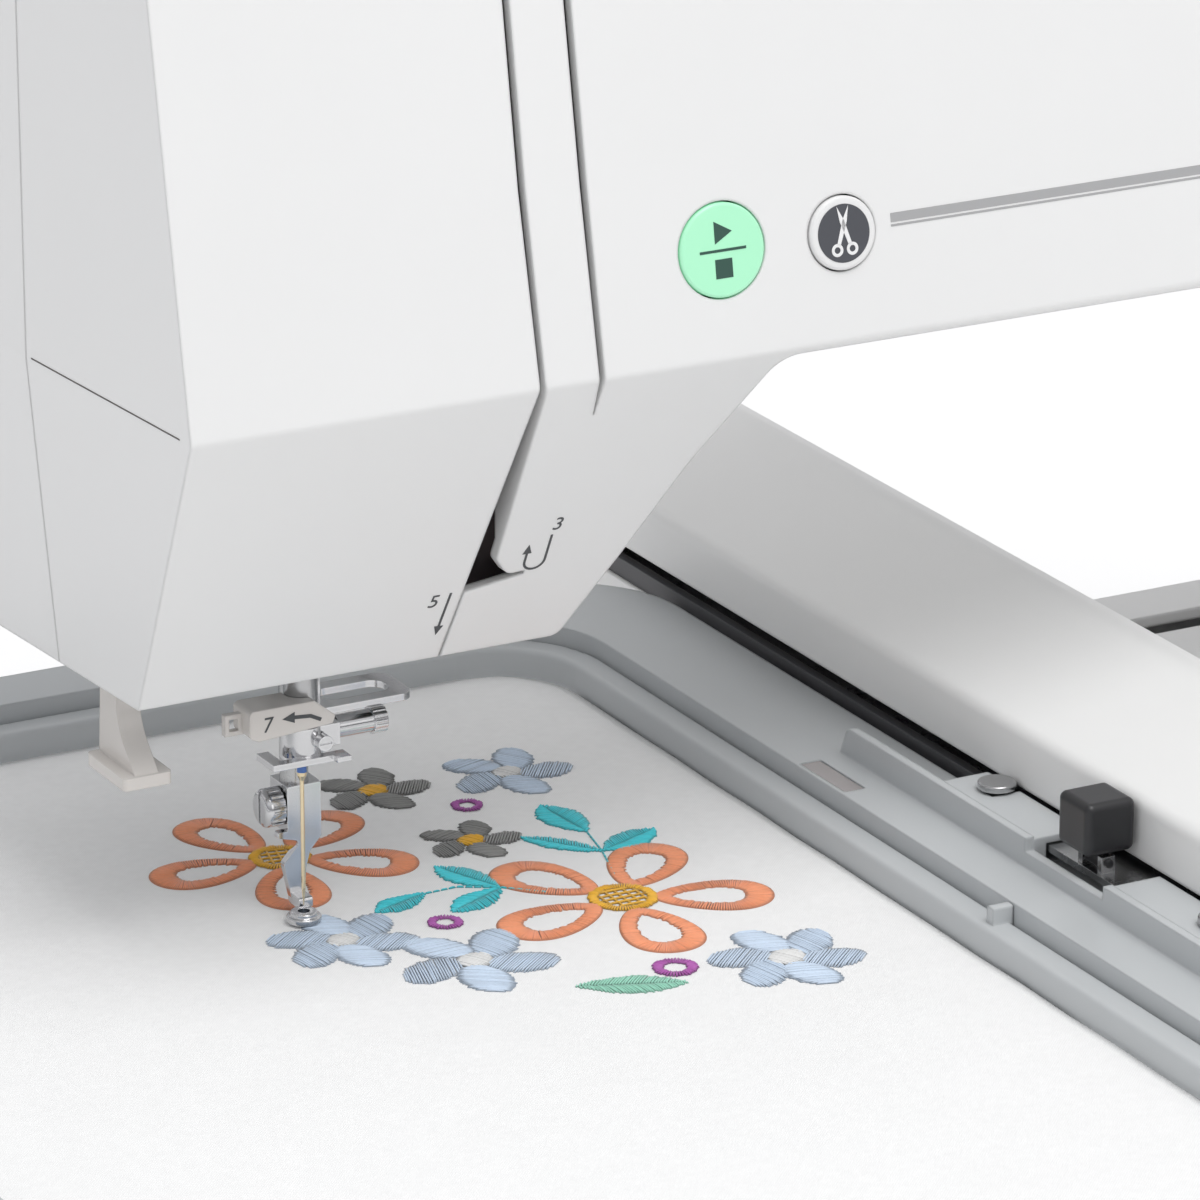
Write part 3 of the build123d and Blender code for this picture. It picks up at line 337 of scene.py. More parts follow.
white = (0.82, 0.82, 0.815)
finishLooks = {
    "caseWhite": dict(kind="plastic", colour=white, rough=0.36, grain=2400.0, pebble=0.10, wear=0.5,
                      edge=1.04, dust=0.05, soft=0.0011),
    "hoopGrey": dict(kind="plastic", colour=(0.53, 0.55, 0.56), rough=0.34, grain=2000.0, pebble=0.08,
                     wear=0.8, edge=1.16, dust=0.06, soft=0.0009),
    "barGrey": dict(kind="plastic", colour=(0.86, 0.86, 0.85), rough=0.33, grain=2000.0, pebble=0.08,
                    wear=0.6, edge=1.06, dust=0.05, soft=0.0012),
    "channelGrey": dict(kind="plastic", colour=(0.115, 0.095, 0.095), rough=0.5, grain=1600.0, pebble=0.1,
                        wear=0.3, edge=1.3, dust=0.2, soft=0.0004),
    "satinBlack": dict(kind="plastic", colour=(0.018, 0.018, 0.02), rough=0.3, grain=1800.0, pebble=0.12,
                       wear=0.6, edge=2.2, dust=0.03, soft=0.0007),
    "railGrey": dict(kind="plastic", colour=(0.06, 0.06, 0.065), rough=0.42, grain=1800.0, pebble=0.1,
                     wear=0.8, edge=1.8, dust=0.12, soft=0.0004),
    "milkyTaupe": dict(kind="plastic", colour=(0.70, 0.665, 0.63), rough=0.26, grain=1500.0, pebble=0.05,
                       wear=0.5, edge=1.15, dust=0.03, soft=0.0005, coat=0.3),
    "clearSmoke": dict(kind="plastic", colour=(0.80, 0.80, 0.80), rough=0.1, grain=1500.0, pebble=0.02,
                       wear=0.3, edge=1.05, dust=0.02, soft=0.0004, coat=0.4, clear=0.75),
    "screenBlack": dict(kind="plastic", colour=(0.012, 0.013, 0.016), rough=0.07, grain=900.0,
                        pebble=0.01, wear=0.2, edge=1.5, dust=0.015, soft=0.0004, coat=0.6),
    "mintLens": dict(kind="plastic", colour=(0.42, 0.84, 0.57), rough=0.24, grain=1500.0, pebble=0.03,
                     wear=0.2, edge=1.02, dust=0.0, soft=0.0006, coat=0.4, glow=(0.30, 1.0, 0.55),
                     glowStrength=0.12),
    "discGrey": dict(kind="plastic", colour=(0.075, 0.078, 0.09), rough=0.3, grain=1500.0, pebble=0.04,
                     wear=0.2, edge=1.2, dust=0.0, soft=0.0002, coat=0.2),
    "iconWhite": dict(kind="plastic", colour=(0.86, 0.86, 0.86), rough=0.4, grain=1500.0, pebble=0.02,
                      wear=0.1, edge=1.0, dust=0.0, soft=0.0001),
    "inkGrey": dict(kind="plastic", colour=(0.075, 0.08, 0.085), rough=0.5, grain=1200.0, pebble=0.02,
                    wear=0.1, edge=1.1, dust=0.0, soft=0.0001),
    "inkGreen": dict(kind="plastic", colour=(0.03, 0.085, 0.065), rough=0.5, grain=1200.0, pebble=0.02,
                     wear=0.1, edge=1.1, dust=0.0, soft=0.0001),
    "stripeSilver": dict(kind="plastic", colour=(0.40, 0.40, 0.405), rough=0.3, grain=1200.0, pebble=0.03,
                         wear=0.1, edge=1.1, dust=0.0, soft=0.0001, coat=0.3),
    "markTaupe": dict(kind="plastic", colour=(0.36, 0.33, 0.325), rough=0.22, grain=1200.0, pebble=0.03,
                      wear=0.3, edge=1.3, dust=0.02, soft=0.0002, coat=0.5),
    "boardGreen": dict(kind="plastic", colour=(0.02, 0.16, 0.08), rough=0.32, grain=700.0, pebble=0.1,
                       wear=0.3, edge=1.4, dust=0.1, soft=0.0002, coat=0.2),
    "rubberBlack": dict(kind="plastic", colour=(0.022, 0.022, 0.022), rough=0.72, grain=1100.0,
                        pebble=0.3, wear=0.5, edge=2.0, dust=0.25, soft=0.0006),
    "chrome": dict(kind="metal", colour=(0.66, 0.66, 0.67), rough=0.13, stretch=(500.0, 500.0, 60.0),
                   scratch=0.10),
    "groundSteel": dict(kind="metal", colour=(0.50, 0.50, 0.505), rough=0.22,
                        stretch=(1500.0, 1500.0, 40.0), scratch=0.35),
    "paleGold": dict(kind="metal", colour=(0.78, 0.66, 0.45), rough=0.2, stretch=(1500.0, 1500.0, 60.0),
                     scratch=0.2),
    "blueBand": dict(kind="plastic", colour=(0.05, 0.16, 0.50), rough=0.3, grain=1500.0, pebble=0.03,
                     wear=0.3, edge=1.3, dust=0.0, soft=0.0001, coat=0.4),
    "barSteel": dict(kind="metal", colour=(0.55, 0.55, 0.56), rough=0.28, stretch=(1500.0, 60.0, 1500.0),
                     scratch=0.4),
    "motorSteel": dict(kind="metal", colour=(0.36, 0.36, 0.37), rough=0.38, stretch=(60.0, 900.0, 900.0),
                       scratch=0.5),
    "castAlloy": dict(kind="metal", colour=(0.52, 0.52, 0.53), rough=0.5, stretch=(420.0, 420.0, 420.0),
                      scratch=0.9, soft=0.0008),
    "bronze": dict(kind="metal", colour=(0.55, 0.36, 0.16), rough=0.36, stretch=(900.0, 60.0, 60.0),
                   scratch=0.5),
    "hoopedCloth": dict(kind="cloth", colour=(0.93, 0.93, 0.925), rough=0.85, pitch=9500.0, depth=0.35,
                        sheen=0.25),
    "threadCoral": dict(kind="thread", colour=(0.90, 0.34, 0.17), level=0.0),
    "threadGold": dict(kind="thread", colour=(0.95, 0.50, 0.03), level=0.14),
    "threadBlue": dict(kind="thread", colour=(0.60, 0.71, 0.85), level=0.06),
    "threadSlate": dict(kind="thread", colour=(0.27, 0.27, 0.26), level=0.1),
    "threadTeal": dict(kind="thread", colour=(0.06, 0.68, 0.76), level=0.03),
    "threadPlum": dict(kind="thread", colour=(0.44, 0.10, 0.42), level=0.12),
    "threadWhite": dict(kind="thread", colour=(0.82, 0.82, 0.81), level=0.16),
    "threadMint": dict(kind="thread", colour=(0.35, 0.72, 0.56), level=0.02),
}
makers = {"plastic": plasticFinish, "metal": metalFinish, "cloth": clothFinish, "thread": threadFinish}
finishes = {name: makers[look["kind"]](name, look) for name, look in finishLooks.items()}
print("stage: finishes made")

# the CAD nodes keep their shapes and take their finishes
nodeFinishes = {
    "caseWhite": ["base_shell", "extension_table", "face_cover", "front_case", "rear_case", "top_lid",
                  "carry_handle", "hand_wheel", "cutter_button"],
    "hoopGrey": ["hoop_outer", "hoop_inner", "spool_tray", "spool_cap", "head_base_plate"],
    "barGrey": ["carriage_case"],
    "channelGrey": ["thread_channel", "bottom_plate", "bobbin_case"],
    "railGrey": ["carriage_rail", "power_inlet", "power_switch"],
    "satinBlack": ["lock_lever"],
    "screenBlack": ["screen_bezel", "touch_screen"],
    "milkyTaupe": ["needle_cover", "threader_lever"],
    "clearSmoke": ["bobbin_cover", "bobbin"],
    "mintLens": ["start_stop_button"],
    "rubberBlack": ["rubber_feet", "timing_belts"],
    "boardGreen": ["circuit_boards"],
    "chrome": ["needle_plate", "needle_clamp", "needle_clamp_screw", "take_up_lever", "presser_lifter",
               "embroidery_foot", "foot_screw", "case_fasteners", "winder_spindle"],
    "paleGold": ["needle"],
    "groundSteel": ["needle_bar", "presser_bar", "presser_spring", "rotary_hook", "hoop_carriage",
                    "hoop_screw"],
    "barSteel": ["x_guide_rods", "y_guide_rods", "main_shaft", "lower_shaft", "motor_shaft",
                 "carriage_frame"],
    "motorSteel": ["main_motor", "x_drive", "y_drive"],
    "castAlloy": ["main_frame"],
    "bronze": ["shaft_bushes"],
}
for finish, nodes in nodeFinishes.items():
    for node in nodes:
        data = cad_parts[node].data
        data.materials.clear()
        data.materials.append(finishes[finish])
print("stage: nodes dressed")


# mesh helpers

def addPiece(name, points, faces, finish, body, slot, smooth=False):
    data = bpy.data.meshes.new(name)
    data.from_pydata([tuple(p) for p in points], [], faces)
    data.update()
    if smooth:
        data.shade_smooth()
    piece = bpy.data.objects.new(name, data)
    bpy.context.collection.objects.link(piece)
    data.materials.append(finishes[finish])
    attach(piece, body)
    return piece


class FlatSheet:
    # a plane that printed marks are laid on: origin, the way right, the way up, and how far out they stand

    def __init__(self, origin, right, up, stand=0.03):
        self.origin = Vector(origin)
        self.right = Vector(right).normalized()
        self.up = Vector(up).normalized()
        self.out = self.right.cross(self.up)
        self.stand = stand * mm

    def point(self, u, v, lift=0.0):
        return self.origin + (self.right * u + self.up * v) * mm + self.out * (self.stand + lift)


markThickness = 0.05 * mm


def markSolid(sheet, loops):
    # thin closed solids from flat loops of (u, v)
    points, faces = [], []
    for loop in loops:
        first, count = len(points), len(loop)
        points += [sheet.point(u, v) for u, v in loop]
        points += [sheet.point(u, v, markThickness) for u, v in loop]
        faces.append(tuple(range(first + count - 1, first - 1, -1)))
        faces.append(tuple(range(first + count, first + 2 * count)))
        for i in range(count):
            j = (i + 1) % count
            faces.append((first + i, first + j, first + count + j, first + count + i))
    return points, faces


def ringLoops(u, v, inner, outer, count=48):
    loops = []
    for i in range(count):
        a, b = math.tau * i / count, math.tau * (i + 1) / count
        corners = ((outer, a), (outer, b), (inner, b), (inner, a))
        loops.append([(u + r * math.cos(angle), v + r * math.sin(angle)) for r, angle in corners])
    return loops


def discLoop(u, v, r, count=64):
    angles = [math.tau * i / count for i in range(count)]
    return [(u + r * math.cos(angle), v + r * math.sin(angle)) for angle in angles]


def strokeLoops(line, width):
    # one quad per run of a line, with mitred joints
    half, sides = width / 2, []
    for i, point in enumerate(line):
        before, after = Vector(line[max(i - 1, 0)]), Vector(line[min(i + 1, len(line) - 1)])
        here = Vector(point)
        arms = [d.normalized() for d in (here - before, after - here) if d.length > 1e-9]
        way = sum(arms, Vector((0, 0))).normalized()
        across = Vector((-way.y, way.x))
        stretch = 1 / max(0.5, abs(across.dot(Vector((-arms[0].y, arms[0].x)))))
        sides.append((here + across * half * stretch, here - across * half * stretch))
    return [[tuple(a[1]), tuple(b[1]), tuple(b[0]), tuple(a[0])] for a, b in zip(sides, sides[1:])]


def arrowHead(tip, way, length, width):
    tip, way = Vector(tip), Vector(way).normalized()
    across = Vector((-way.y, way.x)) * width / 2
    back = tip - way * length
    return [tuple(tip), tuple(back + across), tuple(back - across)]


def numeral(name, text, sheet, u, v, height, finish, body, slant=0.0):
    curve = bpy.data.curves.new(name, "FONT")
    curve.body = text
    curve.size = height * mm * 1.38
    curve.shear = slant
    curve.extrude = markThickness / 2
    curve.align_x = "CENTER"
    holder = bpy.data.objects.new(name + "Curve", curve)
    bpy.context.collection.objects.link(holder)
    bpy.context.view_layer.update()
    data = bpy.data.meshes.new_from_object(holder)
    bpy.data.objects.remove(holder)
    turn = Matrix((sheet.right, sheet.up, sheet.out)).transposed().to_4x4()
    data.transform(Matrix.Translation(sheet.point(u, v, markThickness / 2)) @ turn)
    data.name = name
    piece = bpy.data.objects.new(name, data)
    bpy.context.collection.objects.link(piece)
    data.materials.clear()
    data.materials.append(finishes[finish])
    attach(piece, body)
    return piece


# front of the head: the upper face leans back, the lower one runs in to the needle
frontFaces = {"crease": (-50.0, 126.0), "bottom": (-15.5, 59.8), "lean": math.radians(9.1)}
creaseY, creaseZ = frontFaces["crease"]
bottomY, bottomZ = frontFaces["bottom"]
lean = frontFaces["lean"]
upperSheet = FlatSheet(at(0, creaseY, creaseZ), (1, 0, 0), (0, math.sin(lean), math.cos(lean)))
lowerUp = Vector((0, creaseY - bottomY, creaseZ - bottomZ)).normalized()
lowerSheet = FlatSheet(at(0, bottomY, bottomZ), (1, 0, 0), lowerUp)


def lowerAt(z):
    return (z - bottomZ) / lowerUp.z  # how far up the lower face a height lies


threadMarks = {
    "arrowWidth": 0.55, "headLength": 2.6, "headWidth": 2.1, "numeralHeight": 3.6,
    "downArrow": [(22.6, 76.6), (21.9, 68.2)],
    "hookArrow": {"left": 38.1, "right": 42.8, "top": 87.6, "low": 81.4, "tip": 85.9},
}


def buildThreadMarks():
    m = threadMarks
    (x0, z0), (x1, z1) = m["downArrow"]
    start, stop = (x0, lowerAt(z0)), (x1, lowerAt(z1))
    way = Vector(stop) - Vector(start)
    loops = strokeLoops([start, stop], m["arrowWidth"])
    tip = Vector(stop) + way.normalized() * m["headLength"]
    loops.append(arrowHead(tip, way, m["headLength"], m["headWidth"]))
    addPiece("mark_down_arrow", *markSolid(lowerSheet, loops), "inkGrey", "machine", "dark_plastic")
    hook = m["hookArrow"]
    middle, radius = (hook["left"] + hook["right"]) / 2, (hook["right"] - hook["left"]) / 2
    low = lowerAt(hook["low"])
    line = [(hook["right"], lowerAt(hook["top"]))]
    line += [(middle + radius * math.cos(a), low + radius * math.sin(a))
             for a in (-math.pi * i / 12 for i in range(13))]
    line.append((hook["left"], lowerAt(hook["tip"]) - m["headLength"]))
    loops = strokeLoops(line, m["arrowWidth"])
    loops.append(arrowHead((hook["left"], lowerAt(hook["tip"])), (0, 1), m["headLength"], m["headWidth"]))
    addPiece("mark_hook_arrow", *markSolid(lowerSheet, loops), "inkGrey", "machine", "dark_plastic")
    for name, text, x, z in (("mark_five", "5", 18.9, 73.6), ("mark_three", "3", 43.4, 88.8)):
        numeral(name, text, lowerSheet, x, lowerAt(z), m["numeralHeight"], "inkGrey", "machine",
                0.12)


def buildCoverMarks():
    # on the needle cover: the seventh threading step, with an arrow to the left
    low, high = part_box("needle_cover")
    sheet = FlatSheet(Vector((needlePoint.x, low.y, needlePoint.z)), (1, 0, 0), (0, 0, 1))
    numeral("mark_seven", "7", sheet, -10.6, 46.2, 3.4, "inkGrey", "needle_unit", 0.12)
    line = [(-4.4, 48.4), (-0.8, 48.1), (1.6, 46.9)]
    loops = strokeLoops(line, 0.8)
    loops.append(arrowHead((-7.2, 48.4), (-1, 0), 2.8, 2.4))
    addPiece("mark_left_arrow", *markSolid(sheet, loops), "inkGrey", "needle_unit", "dark_plastic")


buildThreadMarks()
buildCoverMarks()

buttonMarks = {
    "start": {"at": (72.7, 22.3), "proud": 0.5, "bar": 10.6, "barWidth": 0.55, "icon": 4.6, "gap": 3.7},
    "cutter": {"at": (100.4, 22.0), "proud": 0.9, "disc": 6.0, "eye": 1.35, "blade": 8.3,
               "spread": 1.75, "low": 3.3},
}


def buttonSheet(proud):
    # the flat top of a button that stands proud of the upper face
    return FlatSheet(upperSheet.origin + upperSheet.out * proud * mm, upperSheet.right, upperSheet.up)


def buildStartIcon():
    look = buttonMarks["start"]
    u, v = look["at"]
    sheet = buttonSheet(look["proud"])
    loops = strokeLoops([(u - look["bar"] / 2, v), (u + look["bar"] / 2, v)], look["barWidth"])
    half, gap = look["icon"] / 2, look["gap"]
    loops.append([(u - half * 0.75, v + gap - half), (u + half, v + gap), (u - half * 0.75, v + gap + half)])
    loops.append([(u - half * 0.85, v - gap - half * 0.85), (u + half * 0.85, v - gap - half * 0.85),
                  (u + half * 0.85, v - gap + half * 0.85), (u - half * 0.85, v - gap + half * 0.85)])
    addPiece("mark_go_and_halt", *markSolid(sheet, loops), "inkGreen", "start_button", "dark_plastic")


def buildCutterIcon():
    look = buttonMarks["cutter"]
    u, v = look["at"]
    sheet = buttonSheet(look["proud"])
    addPiece("cutter_disc", *markSolid(sheet, [discLoop(u, v, look["disc"])]), "discGrey", "thread_button",
             "button_grey")
    raised = FlatSheet(sheet.point(0, 0, markThickness), sheet.right, sheet.up)
    loops, eye, blade = [], look["eye"], look["blade"]
    for side in (-1, 1):
        loops += ringLoops(u + side * look["spread"], v - look["low"], eye * 0.5, eye, 24)
        way = Vector((-side * 0.34, 1)).normalized()
        across = Vector((way.y, -way.x)) * 0.42
        foot = Vector((u + side * 1.3, v - 2.2))
        tip = foot + way * blade
        loop = [tuple(foot - across), tuple(foot + across), tuple(foot + way * blade * 0.6 + across * 1.25),
                tuple(tip), tuple(foot + way * blade * 0.6 - across * 1.25)]
        loops.append(loop)
    addPiece("mark_cutter", *markSolid(raised, loops), "iconWhite", "thread_button", "case_white")


buildStartIcon()
buildCutterIcon()

armStripes = {"left": 112.0, "right": 238.0, "thick": (23.5, 1.9), "thin": (21.9, 0.45)}


def buildArmStripes():
    s = armStripes
    for name, (v, width) in (("stripe_wide", s["thick"]), ("stripe_fine", s["thin"])):
        loops = strokeLoops([(s["left"], v), (s["right"], v)], width)
        addPiece(name, *markSolid(upperSheet, loops), "stripeSilver", "machine", "hoop_grey")


buildArmStripes()

hoopMarks = {"x": (124.1, 128.7), "half": 9.5, "apart": 80.0, "low": 9.22, "high": 9.8, "hoopY": -81.0}
needleBand = {"low": 33.6, "high": 36.4, "inner": 1.004, "outer": 1.03, "sides": 40}
seamLine = {"corner": (-46.7, -50.0, 126.0), "flare": math.radians(3.9), "from": -66.0, "to": -4.4,
            "up": 0.45, "width": 0.3}
rearVents = {"back": 95.0, "right": 374.0, "low": 24.0, "high": 52.0, "pitch": 6.0, "count": 9, "width": 2.4}


def blockShape(x0, x1, y0, y1, z0, z1):
    points = [at(x, y, z) for z in (z0, z1) for x, y in ((x0, y0), (x1, y0), (x1, y1), (x0, y1))]
    faces = [(3, 2, 1, 0), (4, 5, 6, 7), (0, 1, 5, 4), (1, 2, 6, 5), (2, 3, 7, 6), (3, 0, 4, 7)]
    return points, faces


def buildHoopMarks():
    m = hoopMarks
    for name, side in (("hoop_mark_front", -1), ("hoop_mark_back", 1)):
        y = m["hoopY"] + side * m["apart"]
        shape = blockShape(*m["x"], y - m["half"], y + m["half"], m["low"], m["high"])
        addPiece(name, *shape, "markTaupe", "hoop", "taupe_clear")


def buildNeedleBand():
    m = needleBand
    count = m["sides"]
    angles = [math.tau * i / count for i in range(count)]
    outer, inner, low, high = m["outer"], m["inner"], m["low"], m["high"]
    points = []
    for r, z in ((outer, low), (outer, high), (inner, high), (inner, low)):
        points += [at(r * math.cos(angle), r * math.sin(angle), z) for angle in angles]
    faces = []
    for ring in range(4):
        for i in range(count):
            j = (i + 1) % count
            a, b = ring * count, ((ring + 1) % 4) * count
            faces.append((a + i, a + j, b + j, b + i))
    addPiece("needle_band", points, faces, "blueBand", "needle_unit", "steel")


def buildSeamLine():
    m = seamLine
    toFront = (math.sin(m["flare"]), -math.cos(m["flare"]), 0)
    sheet = FlatSheet(at(*m["corner"]), toFront, (0, 0, 1))
    loops = strokeLoops([(m["from"], m["up"]), (m["to"], m["up"])], m["width"])
    addPiece("head_side_seam", *markSolid(sheet, loops), "channelGrey", "machine", "dark_plastic")


# painted shade: the vent slots are not cut, and near-black strips on the rear face stand for the shade inside
# them
def buildRearVents():
    m = rearVents
    sheet = FlatSheet(at(m["right"], m["back"], 0), (-1, 0, 0), (0, 0, 1))
    loops = []
    for i in range(m["count"]):
        u = i * m["pitch"]
        loops += strokeLoops([(u, m["low"]), (u, m["high"])], m["width"])
    addPiece("rear_vents", *markSolid(sheet, loops), "railGrey", "machine", "dark_plastic")


buildHoopMarks()
buildNeedleBand()
buildSeamLine()
buildRearVents()
print("stage: marks printed")

# hooped cloth
clothLook = {"margin": 0.4, "across": 96, "along": 160, "corner": 19.8, "thickness": 0.5, "ripple": 0.10}


def clothHeight(x, y, halfX, halfY):
    # taut in the middle, with a faint dip from the pull of the ring
    edge = min(halfX - abs(x), halfY - abs(y))
    dip = 0.25 * math.exp(-max(edge, 0.0) / 4.0)
    wave = math.sin(x * 0.21 + 0.7 * math.sin(y * 0.05)) * math.sin(y * 0.17 + 1.3)
    return (clothLook["ripple"] * wave * math.exp(-max(edge, 0.0) / 30.0) - dip)


def buildCloth():
    look = clothLook
    middle = (clothLow + clothHigh) / 2
    halfX = (clothHigh.x - clothLow.x) / 2 / mm - look["margin"]
    halfY = (clothHigh.y - clothLow.y) / 2 / mm - look["margin"]
    points, faces, row = [], [], look["across"] + 1
    for j in range(look["along"] + 1):
        y = -halfY + 2 * halfY * j / look["along"]
        inset = max(0.0, abs(y) - (halfY - look["corner"]))
        reach = halfX - look["corner"] + math.sqrt(max(look["corner"] ** 2 - inset ** 2, 0.0))
        reach = max(reach, halfX - look["corner"])
        for i in range(row):
            x = -reach + 2 * reach * i / look["across"]
            z = clothHeight(x, y, reach, halfY)
            points.append(Vector((middle.x, middle.y, clothHigh.z)) + Vector((x, y, z)) * mm)
    for j in range(look["along"]):
        for i in range(look["across"]):
            a = j * row + i
            faces.append((a, a + 1, a + row + 1, a + row))
    cloth = addPiece("hooped_cloth", points, faces, "hoopedCloth", "hoop", "cloth", True)
    solid = cloth.modifiers.new("thickness", "SOLIDIFY")
    solid.thickness = look["thickness"] * mm
    solid.offset = -1.0
    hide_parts("fabric")
    return cloth


buildCloth()
print("stage: cloth stretched")

# embroidery, all of it satin stitches laid on the cloth
stitchLook = {"pitch": 0.6, "width": 0.6, "height": 0.5, "jitter": 0.34, "sunk": 0.2}
stitchRings = ((0.0, 0.25), (0.14, 0.85), (0.5, 1.0), (0.86, 0.85), (1.0, 0.25))
rng = random.Random(7)


class Threadwork:
    # gathers the stitches of one colour into one mesh

    def __init__(self, level):
        self.points, self.faces, self.level = [], [], level

    def stitch(self, start, stop, width=None, height=None):
        width = width or stitchLook["width"]
        height = height or stitchLook["height"]
        a, b = Vector(start), Vector(stop)
        way = b - a
        if way.length < 0.15:
            return
        across = Vector((-way.y, way.x)).normalized() * width / 2
        first = len(self.points)
        rise = height * (0.85 + 0.3 * rng.random())
        for t, lift in stitchRings:
            p = a.lerp(b, t)
            z = self.level - stitchLook["sunk"]
            for side, up in ((-1, 0.0), (-0.55, 0.66), (0.0, 1.0), (0.55, 0.66), (1, 0.0)):
                q = p + across * side
                self.points.append(at(q.x, q.y, z + rise * lift * up))
        rings = len(stitchRings)
        for r in range(rings - 1):
            for k in range(5):
                m = (k + 1) % 5
                p, q = first + r * 5, first + (r + 1) * 5
                self.faces.append((p + k, p + m, q + m, q + k))
        self.faces.append(tuple(first + k for k in range(4, -1, -1)))
        self.faces.append(tuple(first + (rings - 1) * 5 + k for k in range(5)))

    def finish(self, name, finish):
        return addPiece(name, self.points, self.faces, finish, "hoop", "cloth", True)


def jitter():
    return (rng.random() - 0.5) * 2 * stitchLook["jitter"]


def turned(centre, angle, u, v):
    c, s = math.cos(angle), math.sin(angle)
    return Vector((centre[0] + u * c - v * s, centre[1] + u * s + v * c))


def outlinePetal(work, centre, angle, near, far, half, band, tipBand):
    # a petal drawn as a band of stitches that cross its outline
    count = int(2.35 * (far - near + half) / stitchLook["pitch"])
    for i in range(count):
        t = math.tau * (i + 0.5) / count
        out = 0.5 - 0.5 * math.cos(t)
        u = near + (far - near) * out
        v = half * math.sin(t) * (0.62 + 0.48 * out)
        du = (far - near) * 0.5 * math.sin(t)
        dv = half * (math.cos(t) * (0.62 + 0.48 * out) + math.sin(t) * 0.24 * math.sin(t))
        normal = Vector((dv, -du)).normalized()
        depth = band + (tipBand - band) * out ** 2
        outer = turned(centre, angle, u, v)
        inner = turned(centre, angle, u + normal.x * (depth + jitter()), v + normal.y * (depth + jitter()))
        work.stitch(outer, inner)


def filledPetal(work, centre, angle, near, far, half, slant=0.35):
    # an oval filled from side to side
    middle, reach = (near + far) / 2, (far - near) / 2
    count = int(2 * reach / stitchLook["pitch"])
    for i in range(count):
        u = near + 2 * reach * (i + 0.5) / count
        side = half * math.sqrt(max(0.0, 1 - ((u - middle) / reach) ** 2)) ** 0.8
        slope = slant * side
        start = turned(centre, angle, u - slope, -side + jitter())
        work.stitch(start, turned(centre, angle, u + slope, side + jitter()))


def satinRing(work, centre, inner, outer):
    count = int(math.tau * (inner + outer) / 2 / (stitchLook["pitch"] * 0.9))
    for i in range(count):
        a = math.tau * i / count
        way = Vector((math.cos(a), math.sin(a)))
        here = Vector(centre)
        work.stitch(here + way * (inner + jitter() * 0.6), here + way * (outer + jitter() * 0.6))


def filledDisc(work, centre, radius, angle=0.5):
    count = int(2 * radius / stitchLook["pitch"])
    for i in range(count):
        u = -radius + 2 * radius * (i + 0.5) / count
        side = math.sqrt(max(0.0, radius ** 2 - u ** 2))
        work.stitch(turned(centre, angle, u, -side), turned(centre, angle, u, side))


def lattice(work, centre, radius, angle, pitch):
    # open net inside a flower's ring
    for turn in (0.0, math.pi / 2):
        steps = int(radius / pitch)
        for k in range(-steps, steps + 1):
            side = math.sqrt(max(0.0, radius ** 2 - (k * pitch) ** 2))
            start = turned(centre, angle + turn, k * pitch, -side)
            stop = turned(centre, angle + turn, k * pitch, side)
            work.stitch(start, stop, 0.75, 0.42 if turn else 0.34)


def leaf(work, base, tip, half):
    # two halves of stitches that slope away from the midrib
    base, tip = Vector(base), Vector(tip)
    way = tip - base
    length, angle = way.length, math.atan2(way.y, way.x)
    count = int(length / stitchLook["pitch"])
    for i in range(count):
        t = (i + 0.5) / count
        side = half * math.sin(math.pi * t ** 0.85) ** 0.9
        for s in (-1, 1):
            rim = turned(base, angle, t * length + side * 0.5, s * (side + jitter()))
            work.stitch(turned(base, angle, t * length, 0.0), rim)


def runningStitch(work, line, step=1.9):
    for a, b in zip(line, line[1:]):
        a, b = Vector(a), Vector(b)
        count = max(1, round((b - a).length / step))
        for i in range(count):
            work.stitch(a.lerp(b, i / count), a.lerp(b, (i + 0.86) / count), 0.5, 0.4)


flowers = [
    dict(kind="coral", centre=(11.5, 35.3), reach=30.0, turn=-36.0, heart=6.8),
    dict(kind="coral", centre=(65.1, -19.3), reach=32.0, turn=-24.0, heart=7.5),
    dict(kind="slate", centre=(46.6, 61.3), reach=12.8, turn=-14.0, heart=3.4, petals=5),
    dict(kind="slate", centre=(51.9, 24.8), reach=11.0, turn=-16.0, heart=3.1, petals=5),
    dict(kind="blue", centre=(77.5, 57.2), reach=14.5, turn=-18.0, heart=3.4, petals=5),
    dict(kind="blue", centre=(2.8, -12.7), reach=15.4, turn=-32.0, heart=3.6, petals=6),
    dict(kind="blue", centre=(21.9, -35.2), reach=17.0, turn=-32.0, heart=3.9, petals=5),
    dict(kind="blue", centre=(79.2, -64.1), reach=16.0, turn=-28.0, heart=4.2, petals=6),
]
leaves = [
    ((76.2, 17.4), (74.6, 36.1), 4.9), ((73.8, 6.0), (90.1, 12.3), 4.2), ((73.8, 6.0), (61.7, 21.9), 3.0),
    ((29.5, 2.4), (15.5, -2.1), 3.6), ((45.0, -2.0), (38.0, 15.0), 4.2), ((45.0, -2.4), (29.8, -9.6), 4.0),
]
stems = [[(76.2, 17.4), (73.8, 6.0), (69.4, -8.0)], [(29.5, 2.4), (37.0, 2.6), (45.0, -2.0), (52.6, -9.4)]]
plumRings = [((60.6, 43.6), 3.6), ((25.9, -13.9), 3.8), ((56.4, -57.9), 4.8)]
coralPetal = {"count": 5, "half": 9.6, "band": 3.6, "tipBand": 6.0}
ovalPetal = {"half": 0.33, "near": 0.86}


